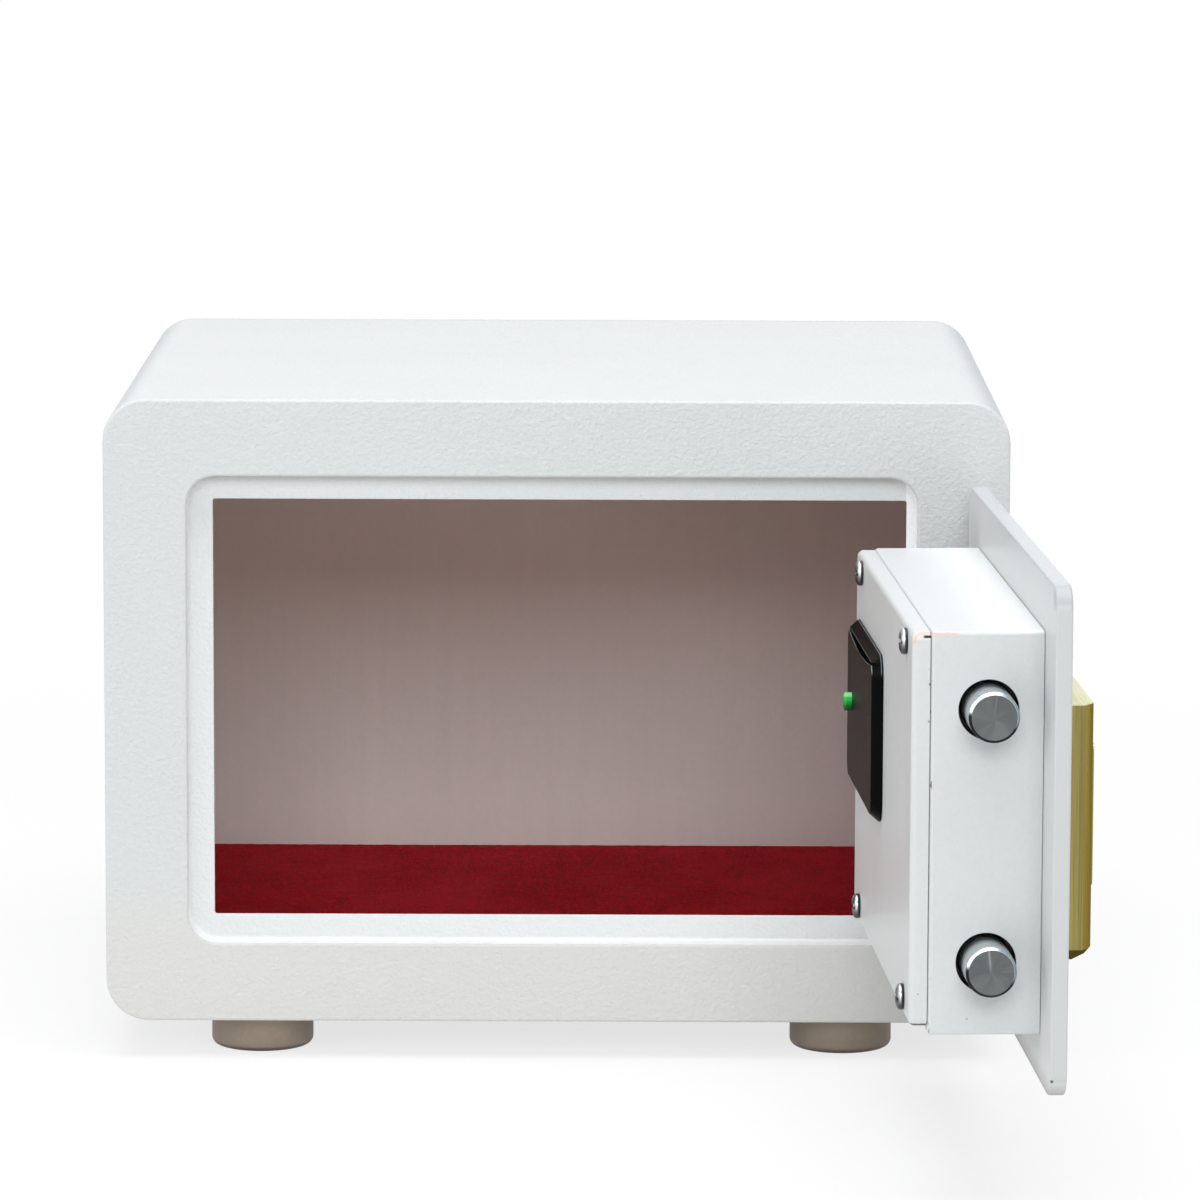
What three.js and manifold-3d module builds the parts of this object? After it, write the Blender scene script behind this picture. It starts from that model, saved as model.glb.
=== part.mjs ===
// A small home safe with its door open and its two bolts drawn back.
// Millimetres, +Z up. The cabinet's front looks along -Y and the door hangs on the right.
import * as THREE from "three";
import { mergeVertices } from "three/addons/utils/BufferGeometryUtils.js";
import Module from "manifold-3d";

const wasm = await Module();
wasm.setup();

// Clearances
const seam = 0.2; // between pieces that are welded, screwed or laid together
const running = 0.3; // around whatever turns or slides
const past = 1; // how far a cutting solid reaches beyond the face that it opens

// Cabinet
const cabinetWidth = 350;
const cabinetHeight = 244;
const cabinetDepth = 300;
const cabinetCorner = 16.5;
const cabinetSheet = 2;
const backInset = 0.5; // back panel in from the rear edge
const footHeight = 15;
const footRadius = 20;
const footRound = 3;
const footStemRadius = 4;
const footSpread = 228; // between the feet, across the cabinet and centred on the recess
const footFromEnd = 31; // cabinet front or back to foot centre
const anchorHoleRadius = 5;
const anchorBoardMargin = 3; // the board's hole is this much wider all round
const anchorSpacing = 120; // the two floor holes for bolting the safe down
const boardThickness = 10.6;
const matThickness = 2.8;
const matMargin = 0.6; // round the edge of the board and the mat

// Front frame: the recess for the door plate, and the ledge behind it
const recessFromLeft = 32.3;
const recessFromRight = 35.6;
const recessFromBottom = 30.9;
const recessFromTop = 29.9;
const recessDepth = 11.5;
const recessCorner = 11;
const foldRadius = 2; // the rounded fold where the front face turns into the recess
const ledgeLeft = 9.5;
const ledgeRight = 3.8;
const ledgeBottom = 9.3;
const ledgeTop = 10.1;
const openingCorner = 1.5;

// Door plate and the hinge that it swings on
const doorGap = 1.5;
const plateSetBack = 2.5; // front face of the cabinet to outer face of the plate
const plateThickness = 6;
const plateCorner = 9.5;
const plateEase = 0.8;
const plateHingeCorner = 13; // rounder and leaning back here, to swing clear of the recess
const plateReliefFront = 0.5;
const plateReliefBack = 3.8;
const hingeBehindEdge = 13.6; // pin axis beyond the recess's right edge
const hingeDepth = 13.5; // pin axis behind the front face
const openDegrees = 93.2;
const hingeSpacing = 88;
const pinRadius = 4;
const pinHeadRadius = 5.8;
const pinHeadHeight = 1.5;
const armThickness = 6;
const armWidth = 6;
const armHubRadius = 7.5;
const armReach = 19; // inner faces of the gooseneck, measured from the pin axis
const armLegOffset = 3;
const armPadLength = 24;
const armPadHeight = 24;
const armPadThickness = 3.5;
const earThickness = 4;
const earGap = 0.5;
const earMargin = 0.5; // ear beyond the arm's hub
const bracketWeb = 4;

// Door box, its lips and the cover that closes it
const boxFromFreeEnd = 30;
const boxFromHingeEnd = 37.6;
const boxFromBottom = 16.9;
const boxFromTop = 19.6;
const boxDepth = 39.9;
const boxSheet = 1.5;
const boxFold = 1.5;
const boxLip = 15;
const coverDepth = 6.6;
const coverSheet = 1.2;
const coverFold = 1.2;
const coverEndInset = 0.5;
const coverTopInset = 0.4;
const coverBottomInset = 3;
const screwFromHingeEnd = 23.8;
const screwFromFreeEnd = 19.7;
const screwFromTop = 5.9;
const screwFromBottom = 3.25;
const screwRadius = 2;
const screwLength = 10;
const screwTip = 1;
const screwHeadRadius = 4.75;
const screwHeadHeight = 2.6;
const screwHeadWall = 1.04;
const screwDomeRadius = 3.56;
const screwDomeHeight = 2.21;
const screwSlotLength = 4.6;
const screwSlotWidth = 1;
const screwSlotDepth = 1.43;

// Bolts and their drive
const boltRadius = 9;
const boltLengthShare = 0.2837; // of the door box's length
const boltChamfer = 1.2;
const boltTailRadius = 4;
const boltSpacingShare = 0.6263; // of the door box's height
const boltDrop = 2.2; // middle of the bolts below the middle of the plate
const boltBehindPlate = 19.5;
const boltStandOut = 18;
const boltHoleRadius = 10.6;
const bushLength = 10;
const bushWall = 2.7;
const bushFlange = 2;
const bushRim = 2; // flange beyond the sleeve
const guideFromBoxEnd = 13;
const guideSheet = 2;
const guideHeight = 34;
const guideFoot = 12;
const guideOverhang = 5;
const barThickness = 4;
const barOverhang = 10;
const barDepth = 23;
const rackModule = 1.1;
const rackTeeth = 11;
const rackWidth = 6;
const rackBack = 8;
const driveTeeth = 16;
const wheelTeeth = 24;
const motorTeeth = 12;
const gearModule = 1;
const gearWidth = 4;
const toothPlay = 0.2; // taken off each tooth's thickness
const pressureAngle = THREE.MathUtils.degToRad(20);
const addendum = 0.9; // in modules, as is the dedendum
const dedendum = 1.25;
const driveAboveMiddle = 10;
const driveShare = 0.1655; // bolt bar to drive axis, of the door box's length
const axleRadius = 2.5;
const axleCollar = 2; // collar beyond the axle's radius
const gearPlateThickness = 1.5;
const gearPlateGap = 1; // behind the gears
const gearPlateWidth = 38;
const gearPlateMargin = 2; // below the rack
const gearPlateTop = 4; // above the motor
const gearPlateCorner = 2;
const gearPostRadius = 2.5;
const motorRadius = 10;
const motorFlat = 7.5; // motor's axis to the flats of its can
const motorLength = 14;
const motorShaftRadius = 1;
const motorShaftHole = 3;
const motorBossRadius = 3;
const motorBossHeight = 1.5;

// Electronics inside the door
const boardFromHingeEnd = 17;
const boardLength = 70;
const boardHeight = 44;
const boardFromBoxBottom = 7;
const boardStandOff = 5;
const circuitBoard = 1.6;
const boardPostInset = 5;
const boardPostRadius = 2.5;
const boardNutHeight = 1.5;
const solderDepth = 0.5; // how far components are sunk in the board
// Components on the board: along, up, wide, high, tall
const chips = [
  [24, 24, 12, 12, 2],
  [43, 13, 16, 6, 6],
  [21, 7, 20, 4, 8],
];
const capacitorsAlong = [45, 56];
const capacitorsUp = 32;
const capacitorRadius = 4;
const capacitorHeight = 10;

// Battery bay, its cover and the reset button
const bayShare = 0.1816; // hinge end of the box to the bay, of the box's length
const bayLength = 66;
const bayHeight = 60;
const bayFromBoxTop = 26.7;
const bayDepth = 18.5;
const bayWall = 1.6;
const bayFlange = 3;
const cellRadius = 7.1;
const cellLength = 50.5;
const cellPitch = 15;
const cellCapRadius = 2.7;
const cellCapHeight = 1.2;
const lidShare = 0.0426; // hinge end of the box to the lid, of the box's length
const lidLength = 101;
const lidHeight = 62.2;
const lidFromBoxTop = 24.9;
const lidThickness = 4;
const lidWall = 1.6;
const lidBevel = 3;
const lidRim = 0.5;
const lidCorner = 2;
const slotDepth = 3.6; // finger slot, from the upper bevel to its lowest point
const slotEnd = 1.1; // what is left of that depth at both ends
const slotSteps = 10;
const clipLength = 12;
const clipReach = 4;
const clipThickness = 1;
const buttonFromBay = 11;
const buttonFromBoxTop = 54.5;
const buttonRadius = 3.5;
const buttonStandOut = 3;
const buttonBevel = 0.7;
const buttonTravel = 1.5;
const switchSize = 13;
const switchDepth = 11;
const lipFromSwitch = 5.9; // to the lip at the box's hinge end

// Keypad on the outer face
const padFromMiddle = 34.55; // middle of the plate to middle of the panel, towards the free end
const padLength = 130;
const padHeight = 91.8;
const padFromPlateBottom = 41;
const padThickness = 13.2;
const padRim = 9.6;
const padBevel = 5;
const padFootRim = 6.4;
const padFootBevel = 4.5;
const padCornerCut = 4;
const padWall = 2.5;
const padHollowSide = 1.5; // wall of the hollow, in from the side bevels
const padHollowBottom = 1; // and this much more at the bottom
const fieldFromPadEnd = 21; // raised field that frames the keys
const fieldLength = 72;
const fieldHeight = 51;
const fieldFromPadBottom = 23.2;
const fieldRise = 2.5;
const fieldCorner = 2;
const keyBoardMargin = 1.5;
const keyPitchX = 22;
const keyPitchZ = 11.6;
const keyLength = 18;
const keyHeight = 8.6;
const keyCorner = 1.5;
const keyProud = 0.4;
const keyFlange = 1;
const keyFlangeHeight = 1.2;
const keyTravel = 0.8;
const lensLength = 24;
const lensHeight = 5;
const lensProud = 0.6;
const lensFlange = 1;
const lensFromPadTop = 10.6;

// Key lock for the day when the batteries are flat
const lockFromPadEnd = 18;
const lockAboveMiddle = 1;
const barrelRadius = 7;
const barrelBehindPlate = 15;
const barrelFlangeRadius = 9.5;
const barrelFlangeHeight = 1.5;
const barrelBevel = 0.5;
const plugRadius = 4;
const keywayWidth = 1.2;
const keywayLength = 5;
const keywayDepth = 6;
const camHubHeight = 1.5;
const camThickness = 2.5;
const camLength = 13;
const camWidth = 6;

// Where things lie, with the door closed
const ground = 0;
const cabinetBase = ground + footHeight;
const cabinet = {
  x0: -cabinetWidth / 2,
  x1: cabinetWidth / 2,
  z0: cabinetBase,
  z1: cabinetBase + cabinetHeight,
};
const recess = {
  x0: cabinet.x0 + recessFromLeft,
  x1: cabinet.x1 - recessFromRight,
  z0: cabinet.z0 + recessFromBottom,
  z1: cabinet.z1 - recessFromTop,
};
const opening = {
  x0: recess.x0 + ledgeLeft,
  x1: recess.x1 - ledgeRight,
  z0: recess.z0 + ledgeBottom,
  z1: recess.z1 - ledgeTop,
};
const plate = grow(recess, -doorGap);
const plateFront = plateSetBack;
const plateBack = plateFront + plateThickness;
const plateMiddle = (plate.z0 + plate.z1) / 2;
const plateMiddleX = (plate.x0 + plate.x1) / 2;
const hingeX = recess.x1 + hingeBehindEdge;
const hingeLevels = {
  upper: plateMiddle + hingeSpacing / 2,
  lower: plateMiddle - hingeSpacing / 2,
};
const box = {
  x0: plate.x0 + boxFromFreeEnd,
  x1: plate.x1 - boxFromHingeEnd,
  z0: plate.z0 + boxFromBottom,
  z1: plate.z1 - boxFromTop,
};
const boxLength = box.x1 - box.x0;
const boxHeight = box.z1 - box.z0;
const boxFront = plateBack + seam;
const boxBack = plateBack + boxDepth;
const cover = {
  x0: box.x0 + coverEndInset,
  x1: box.x1 - coverEndInset,
  z0: box.z0 + coverBottomInset,
  z1: box.z1 - coverTopInset,
};
const coverFront = boxBack + seam;
const coverBack = boxBack + coverDepth;
const coverInside = coverBack - coverSheet;
const boltY = plateBack + boltBehindPlate;
const boltMiddle = plateMiddle - boltDrop;
const boltSpacing = boltSpacingShare * boxHeight;
const boltLevels = [boltMiddle + boltSpacing / 2, boltMiddle - boltSpacing / 2];
const boltTip = box.x0 - boltStandOut;
const boltHeel = boltTip + boltLengthShare * boxLength;
const bushOuter = boltRadius + running + bushWall;
const barX = boltHeel + seam;
const driveX = barX + barThickness + driveShare * boxLength;
const driveZ = boltMiddle + driveAboveMiddle;
const rackPitchRadius = (rackModule * driveTeeth) / 2;
const rackLine = driveZ - rackPitchRadius;
const rackFront = boltY - boltRadius;
const rackRear = rackFront + rackWidth;
const wheelFront = rackRear + running;
const wheelRear = wheelFront + gearWidth;
const gearPlateFront = wheelRear + gearPlateGap;
const motorZ = driveZ + (gearModule * (wheelTeeth + motorTeeth)) / 2;
const bayEnd = box.x1 - bayShare * boxLength;
const bay = {
  x0: bayEnd - bayLength,
  x1: bayEnd,
  z0: box.z1 - bayFromBoxTop - bayHeight,
  z1: box.z1 - bayFromBoxTop,
};
const bayRim = coverInside - seam;
const bayFloor = bayRim - bayDepth;
const lidEnd = box.x1 - lidShare * boxLength;
const lid = {
  x0: lidEnd - lidLength,
  x1: lidEnd,
  z0: box.z1 - lidFromBoxTop - lidHeight,
  z1: box.z1 - lidFromBoxTop,
};
const lidFront = coverBack + seam;
const lidBack = lidFront + lidThickness;
const buttonX = bay.x1 + buttonFromBay;
const buttonZ = box.z1 - buttonFromBoxTop;
const buttonHeel = coverInside - switchDepth / 2;
const padMiddle = plateMiddleX - padFromMiddle;
const pad = {
  x0: padMiddle - padLength / 2,
  x1: padMiddle + padLength / 2,
  z0: plate.z0 + padFromPlateBottom,
  z1: plate.z0 + padFromPlateBottom + padHeight,
};
const padRear = plateFront - seam;
const padFace = plateFront - padThickness;
const field = {
  x0: pad.x0 + fieldFromPadEnd,
  x1: pad.x0 + fieldFromPadEnd + fieldLength,
  z0: pad.z0 + fieldFromPadBottom,
  z1: pad.z0 + fieldFromPadBottom + fieldHeight,
};
const fieldFace = padFace - fieldRise;
const lensX = (field.x0 + field.x1) / 2;
const lensZ = pad.z1 - lensFromPadTop;
const lockX = pad.x1 - lockFromPadEnd;
const lockZ = (pad.z0 + pad.z1) / 2 + lockAboveMiddle;
const barrelFront = padFace - seam - barrelFlangeHeight;
const barrelRear = plateBack + barrelBehindPlate;

const paint = (color, roughness, metalness = 0) =>
  new THREE.MeshStandardMaterial({ color, roughness, metalness });
const whitePaint = paint(0xe4e6e5, 0.4);
const innerPaint = paint(0x96887f, 0.6);
const steel = paint(0x9a9da0, 0.35, 1);
const zinc = paint(0xb9bcc0, 0.3, 1);
const brass = paint(0xa8924c, 0.35, 1);
const redFelt = paint(0x7a0a14, 0.95);
const board = paint(0x8a6c48, 0.8);
const footPlastic = paint(0xa09890, 0.6);
const blackPlastic = paint(0x1c1d20, 0.4);
const greyPlastic = paint(0x50545a, 0.6);
const whitePlastic = paint(0xe8e6dc, 0.5);
const greenPlastic = paint(0x1fae4b, 0.4);
const keyPlastic = paint(0xd9d4c4, 0.45);
const circuitGreen = paint(0x1f5a3a, 0.5);
const cellJacket = paint(0x3a4a6c, 0.4);
const lensPlastic = paint(0x4a1414, 0.2);

// Outlines and solids

function grow(r, by) {
  return { x0: r.x0 - by, x1: r.x1 + by, z0: r.z0 - by, z1: r.z1 + by };
}

function rect(r, corner = 0, right = corner) {
  const s = new THREE.Shape();
  if (corner <= 0) {
    s.moveTo(r.x0, r.z0).lineTo(r.x1, r.z0).lineTo(r.x1, r.z1).lineTo(r.x0, r.z1);
    return s;
  }
  s.moveTo(r.x0 + corner, r.z0);
  s.lineTo(r.x1 - right, r.z0);
  s.absarc(r.x1 - right, r.z0 + right, right, -Math.PI / 2, 0);
  s.absarc(r.x1 - right, r.z1 - right, right, 0, Math.PI / 2);
  s.absarc(r.x0 + corner, r.z1 - corner, corner, Math.PI / 2, Math.PI);
  s.absarc(r.x0 + corner, r.z0 + corner, corner, Math.PI, 1.5 * Math.PI);
  return s;
}

const spread = (x, z, w, h) => ({
  x0: x - w / 2,
  x1: x + w / 2,
  z0: z - h / 2,
  z1: z + h / 2,
});

function polygon(points) {
  return new THREE.Shape(points.map(([x, z]) => new THREE.Vector2(x, z)));
}

function toSolid(geometry) {
  const g = geometry.clone();
  for (const name of ["normal", "uv"]) g.deleteAttribute(name);
  const merged = mergeVertices(g, 1e-4);
  return new wasm.Manifold(
    new wasm.Mesh({
      numProp: 3,
      vertProperties: merged.attributes.position.array,
      triVerts: new Uint32Array(merged.index.array),
    }),
  );
}

// A flat outline drawn over (x, z), (y, z) or (x, y) and pulled along the third axis.
const axes = {
  x: [[0, 1, 0], [0, 0, 1], [1, 0, 0]],
  y: [[1, 0, 0], [0, 0, 1], [0, -1, 0]],
  z: [[1, 0, 0], [0, 1, 0], [0, 0, 1]],
};

function slab(shape, axis, from, to, segments = 6) {
  const g = new THREE.ExtrudeGeometry(shape, {
    depth: to - from,
    bevelEnabled: false,
    curveSegments: segments,
  });
  const [u, v, w] = axes[axis].map((a) => new THREE.Vector3(...a));
  g.applyMatrix4(new THREE.Matrix4().makeBasis(u, v, w));
  const start = axis === "y" ? to : from;
  const shift = { x: 0, y: 0, z: 0, [axis]: start };
  g.translate(shift.x, shift.y, shift.z);
  return toSolid(g);
}

const block = (r, from, to, corner = 0, segments = 4) =>
  slab(rect(r, corner), "y", from, to, segments);

// A body of revolution about a line along one axis, from a profile of [radius, place].
function turned(axis, x, y, z, profile, segments = 24) {
  const points = profile.map(([r, at]) => new THREE.Vector2(r, at));
  const g = new THREE.LatheGeometry(points, segments);
  if (axis === "z") g.rotateX(Math.PI / 2);
  if (axis === "x") g.rotateZ(-Math.PI / 2);
  g.translate(x, y, z);
  const solid = toSolid(g);
  if (solid.volume() > 0) return solid;
  return toSolid(flipped(g));
}

function flipped(geometry) {
  const g = geometry.clone();
  const order = g.index.array;
  for (let i = 0; i < order.length; i += 3) {
    [order[i + 1], order[i + 2]] = [order[i + 2], order[i + 1]];
  }
  return g;
}

const rod = (axis, x, y, z, radius, from, to, segments = 24) =>
  turned(axis, x, y, z, [[0, from], [radius, from], [radius, to], [0, to]], segments);

function roundedLoop(r, corner, segments) {
  const centres = [
    [r.x1 - corner, r.z0 + corner],
    [r.x1 - corner, r.z1 - corner],
    [r.x0 + corner, r.z1 - corner],
    [r.x0 + corner, r.z0 + corner],
  ];
  return centres.flatMap(([x, z], quarter) =>
    Array.from({ length: segments + 1 }, (_, i) => {
      const a = (quarter - 1 + i / segments) * (Math.PI / 2);
      return [x + corner * Math.cos(a), z + corner * Math.sin(a)];
    }),
  );
}

// A ring that follows a rounded rectangle, from a closed profile of [growth, y].
function hoop(r, corner, profile, segments = 4) {
  const rings = profile.map(([by, y]) =>
    roundedLoop(grow(r, by), corner + by, segments).map(([x, z]) => [x, y, z]),
  );
  const count = rings[0].length;
  const position = new Float32Array(rings.flat(2));
  const index = [];
  rings.forEach((ring, i) => {
    const here = i * count;
    const there = ((i + 1) % rings.length) * count;
    ring.forEach((point, j) => {
      const k = (j + 1) % count;
      index.push(here + j, there + j, there + k, here + j, there + k, here + k);
    });
  });
  const g = new THREE.BufferGeometry();
  g.setAttribute("position", new THREE.BufferAttribute(position, 3));
  g.setIndex(index);
  const solid = toSolid(g);
  return solid.volume() > 0 ? solid : toSolid(flipped(g));
}

const join = (first, ...rest) => rest.reduce((a, b) => a.add(b), first);
const cut = (first, ...rest) => rest.reduce((a, b) => a.subtract(b), first);

function piece(group, name, solid, material) {
  const { vertProperties, triVerts } = solid.getMesh();
  const g = new THREE.BufferGeometry();
  g.setAttribute("position", new THREE.BufferAttribute(vertProperties, 3));
  g.setIndex(new THREE.BufferAttribute(triVerts, 1));
  g.computeVertexNormals();
  const mesh = new THREE.Mesh(g, material);
  mesh.name = name;
  group.add(mesh);
  return mesh;
}

// Gears: an involute spur outline with one tooth's middle at the given angle
function gearOutline(x, z, teeth, module, toothAt) {
  const pitch = (module * teeth) / 2;
  const base = pitch * Math.cos(pressureAngle);
  const outer = pitch + addendum * module;
  const root = pitch - dedendum * module;
  const inv = (a) => Math.tan(a) - a;
  const half = (r) =>
    Math.PI / (2 * teeth) -
    toothPlay / (2 * pitch) +
    inv(pressureAngle) -
    (r > base ? inv(Math.acos(base / r)) : 0);
  const flank = [root, pitch, outer];
  const points = [];
  for (let i = 0; i < teeth; i++) {
    const middle = toothAt + (2 * Math.PI * i) / teeth;
    for (const r of flank) points.push([r, middle - half(r)]);
    for (const r of [...flank].reverse()) points.push([r, middle + half(r)]);
  }
  return polygon(points.map(([r, a]) => [x + r * Math.cos(a), z + r * Math.sin(a)]));
}

// A straight rack whose teeth point up, with one tooth's middle at tooth
function rackOutline(from, to, tooth) {
  const step = Math.PI * rackModule;
  const lean = Math.tan(pressureAngle);
  const tip = rackLine + addendum * rackModule;
  const root = rackLine - dedendum * rackModule;
  const half = step / 4 - toothPlay / 2;
  const floor = root - rackBack;
  const points = [[from, floor], [to, floor], [to, root]];
  for (let i = (rackTeeth - 1) / 2; i >= -(rackTeeth - 1) / 2; i--) {
    const x = tooth + i * step;
    const low = half + (rackLine - root) * lean;
    const high = half - (tip - rackLine) * lean;
    points.push([x + low, root], [x + high, tip], [x - high, tip], [x - low, root]);
  }
  points.push([from, root]);
  return polygon(points);
}

// Cabinet

function makeShell() {
  const inner = cabinetCorner - cabinetSheet;
  const front = cabinetSheet + seam / 2;
  const tube = cut(
    block(cabinet, front, cabinetDepth, cabinetCorner, 8),
    block(grow(cabinet, -cabinetSheet), front - past, cabinetDepth + past, inner, 8),
  );
  const floorHole = (radius) => ([x, y]) =>
    rod("z", x, y, cabinetBase, radius, -past, cabinetSheet + past, 12);
  const stems = footCentres().map(floorHole(footStemRadius + running));
  const anchors = anchorCentres().map(floorHole(anchorHoleRadius));
  return cut(tube, ...stems, ...anchors);
}

function footCentres() {
  const middle = (recess.x0 + recess.x1) / 2;
  const sides = [middle - footSpread / 2, middle + footSpread / 2];
  const ends = [footFromEnd, cabinetDepth - footFromEnd];
  return ends.flatMap((y) => sides.map((x) => [x, y]));
}

function anchorCentres() {
  return [-1, 1].map((side) => [0, cabinetDepth / 2 + (side * anchorSpacing) / 2]);
}

function makeFrame() {
  const back = recessDepth + cabinetSheet;
  const wall = cabinetSheet;
  const face = cut(
    block(cabinet, 0, cabinetSheet, cabinetCorner, 6),
    block(grow(recess, foldRadius), -past, cabinetSheet + past, recessCorner + foldRadius),
  );
  const fold = [0, 1, 2].map((i) => {
    const a = (i / 2) * (Math.PI / 2);
    return [foldRadius * (1 - Math.cos(a)), foldRadius * (1 - Math.sin(a))];
  });
  const lap = foldRadius + past; // the lip's front runs this far into the face
  const lip = hoop(recess, recessCorner, [
    ...fold,
    [lap, 0],
    [lap, cabinetSheet],
    [wall, cabinetSheet],
    [wall, back],
    [0, back],
  ]);
  const ledge = cut(
    block(grow(recess, wall / 2), recessDepth, back, recessCorner + wall / 2),
    block(opening, recessDepth - past, back + past, openingCorner, 3),
  );
  return join(face, lip, ledge);
}

function makeFoot(x, y) {
  const rise = footHeight - seam;
  const stem = cabinetBase + cabinetSheet - seam;
  return turned("z", x, y, 0, [
    [0, 0],
    [footRadius - footRound, 0],
    [footRadius - footRound * (1 - Math.SQRT1_2), footRound * (1 - Math.SQRT1_2)],
    [footRadius, footRound],
    [footRadius, rise],
    [footStemRadius, rise],
    [footStemRadius, stem],
    [0, stem],
  ], 20);
}

function makeFloorBoard() {
  const low = cabinetBase + cabinetSheet + seam;
  const slabOfBoard = slab(floorOutline(low), "z", low, low + boardThickness, 3);
  const anchors = anchorCentres().map(([x, y]) =>
    rod("z", x, y, low, anchorHoleRadius + anchorBoardMargin, -past, boardThickness + past, 12),
  );
  return cut(slabOfBoard, ...anchors);
}

function makeMat() {
  const low = cabinetBase + cabinetSheet + boardThickness + 2 * seam;
  return slab(floorOutline(cabinetBase + cabinetSheet + seam), "z", low, low + matThickness, 3);
}

// The board and mat stop short of the sides where the cabinet's lower corners curve in.
function floorOutline(low) {
  const inner = cabinetCorner - cabinetSheet;
  const up = cabinetBase + cabinetCorner - low;
  const curve = inner - Math.sqrt(Math.max(inner * inner - up * up, 0));
  const side = cabinetWidth / 2 - cabinetSheet - matMargin - Math.max(curve, 0);
  const front = recessDepth + cabinetSheet + matMargin;
  const rear = cabinetDepth - cabinetSheet - matMargin - backInset;
  return rect({ x0: -side, x1: side, z0: front, z1: rear });
}

function makeBack() {
  const rear = cabinetDepth - backInset;
  const by = -cabinetSheet - seam;
  return block(grow(cabinet, by), rear - cabinetSheet, rear, cabinetCorner + by, 6);
}

// Hinges: a pin in a bracket on the cabinet, and a gooseneck arm on the door

function makeBracket(level) {
  const wall = cabinet.x1 - cabinetSheet - seam;
  const half = armThickness / 2 + earGap;
  const radius = armHubRadius + earMargin;
  const top = half + earThickness;
  const ear = new THREE.Shape();
  ear.moveTo(wall, hingeDepth + radius);
  ear.lineTo(hingeX, hingeDepth + radius);
  ear.absarc(hingeX, hingeDepth, radius, Math.PI / 2, 1.5 * Math.PI);
  ear.lineTo(wall, hingeDepth - radius);
  const web = {
    x0: wall - bracketWeb,
    x1: wall,
    z0: hingeDepth - radius,
    z1: hingeDepth + radius,
  };
  const solid = join(
    slab(ear, "z", level + half, level + top, 6),
    slab(ear, "z", level - top, level - half, 6),
    slab(rect(web), "z", level - top, level + top),
  );
  const bore = rod("z", hingeX, hingeDepth, level, pinRadius + seam, -top - past, top + past, 16);
  return cut(solid, bore);
}

function makePin(level) {
  const end = armThickness / 2 + earGap + earThickness + seam;
  return turned("z", hingeX, hingeDepth, level, [
    [0, -end - pinHeadHeight],
    [pinRadius, -end - pinHeadHeight],
    [pinRadius, end],
    [pinHeadRadius, end],
    [pinHeadRadius, end + pinHeadHeight],
    [0, end + pinHeadHeight],
  ], 16);
}

function makeArm(level) {
  const leg = armLegOffset + armWidth;
  const out = armReach + armWidth;
  const foot = plateBack + seam - hingeDepth;
  const path = polygon([
    [armLegOffset, 0],
    [leg, 0],
    [leg, out],
    [-out, out],
    [-out, foot],
    [-armReach, foot],
    [-armReach, armReach],
    [armLegOffset, armReach],
  ]);
  const from = level - armThickness / 2;
  const to = level + armThickness / 2;
  const strap = slab(path, "z", from, to).translate([hingeX, hingeDepth, 0]);
  const hub = rod("z", hingeX, hingeDepth, 0, armHubRadius, from, to, 20);
  const padPlate = {
    x0: hingeX - out - armPadLength,
    x1: hingeX - armReach,
    z0: level - armPadHeight / 2,
    z1: level + armPadHeight / 2,
  };
  const footPlate = block(padPlate, plateBack + seam, plateBack + seam + armPadThickness);
  const bore = rod("z", hingeX, hingeDepth, 0, pinRadius + running, from - past, to + past, 16);
  return cut(join(strap, hub, footPlate), bore);
}

// Door

function makePlate() {
  const corners = [plateCorner - plateEase, plateHingeCorner - plateEase];
  const g = new THREE.ExtrudeGeometry(rect(grow(plate, -plateEase), ...corners), {
    depth: plateThickness - 2 * plateEase,
    bevelThickness: plateEase,
    bevelSize: plateEase,
    bevelSegments: 1,
    curveSegments: 5,
  });
  g.rotateX(Math.PI / 2);
  g.translate(0, plateBack - plateEase, 0);
  const barrelHole = rod(
    "y", lockX, 0, lockZ, barrelRadius + seam, plateFront - past, plateBack + past, 16,
  );
  const lean = ((plateReliefBack - plateReliefFront) / plateThickness) * past;
  const relief = slab(
    polygon([
      [plate.x1 - plateReliefFront + lean, plateFront - past],
      [plate.x1 + plateReliefFront + past, plateFront - past],
      [plate.x1 + plateReliefFront + past, plateBack + past],
      [plate.x1 - plateReliefBack - lean, plateBack + past],
    ]),
    "z", plate.z0 - past, plate.z1 + past,
  );
  return cut(toSolid(g), barrelHole, relief);
}

function makeBox() {
  const inside = grow(box, -boxSheet);
  const mouth = { ...grow(box, -boxLip), x1: buttonX + switchSize / 2 + lipFromSwitch };
  const body = cut(
    block(box, boxFront, boxBack, boxFold, 2),
    block(inside, boxFront - past, boxBack - boxSheet),
    block(mouth, boxBack - boxSheet - past, boxBack + past),
  );
  const boltHoles = boltLevels.map((z) =>
    rod("x", box.x0, boltY, z, boltHoleRadius, -past, boxSheet + past, 24),
  );
  const screwHoles = screwCentres().map(([x, z]) =>
    rod("y", x, boxBack, z, screwRadius + seam, -boxSheet - past, past, 8),
  );
  return cut(body, ...boltHoles, ...screwHoles);
}

function screwCentres() {
  return [box.x1 - screwFromHingeEnd, box.x0 + screwFromFreeEnd].flatMap((x) => [
    [x, cover.z1 - screwFromTop],
    [x, cover.z0 + screwFromBottom + screwHeadRadius - screwRadius / 2],
  ]);
}

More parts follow.
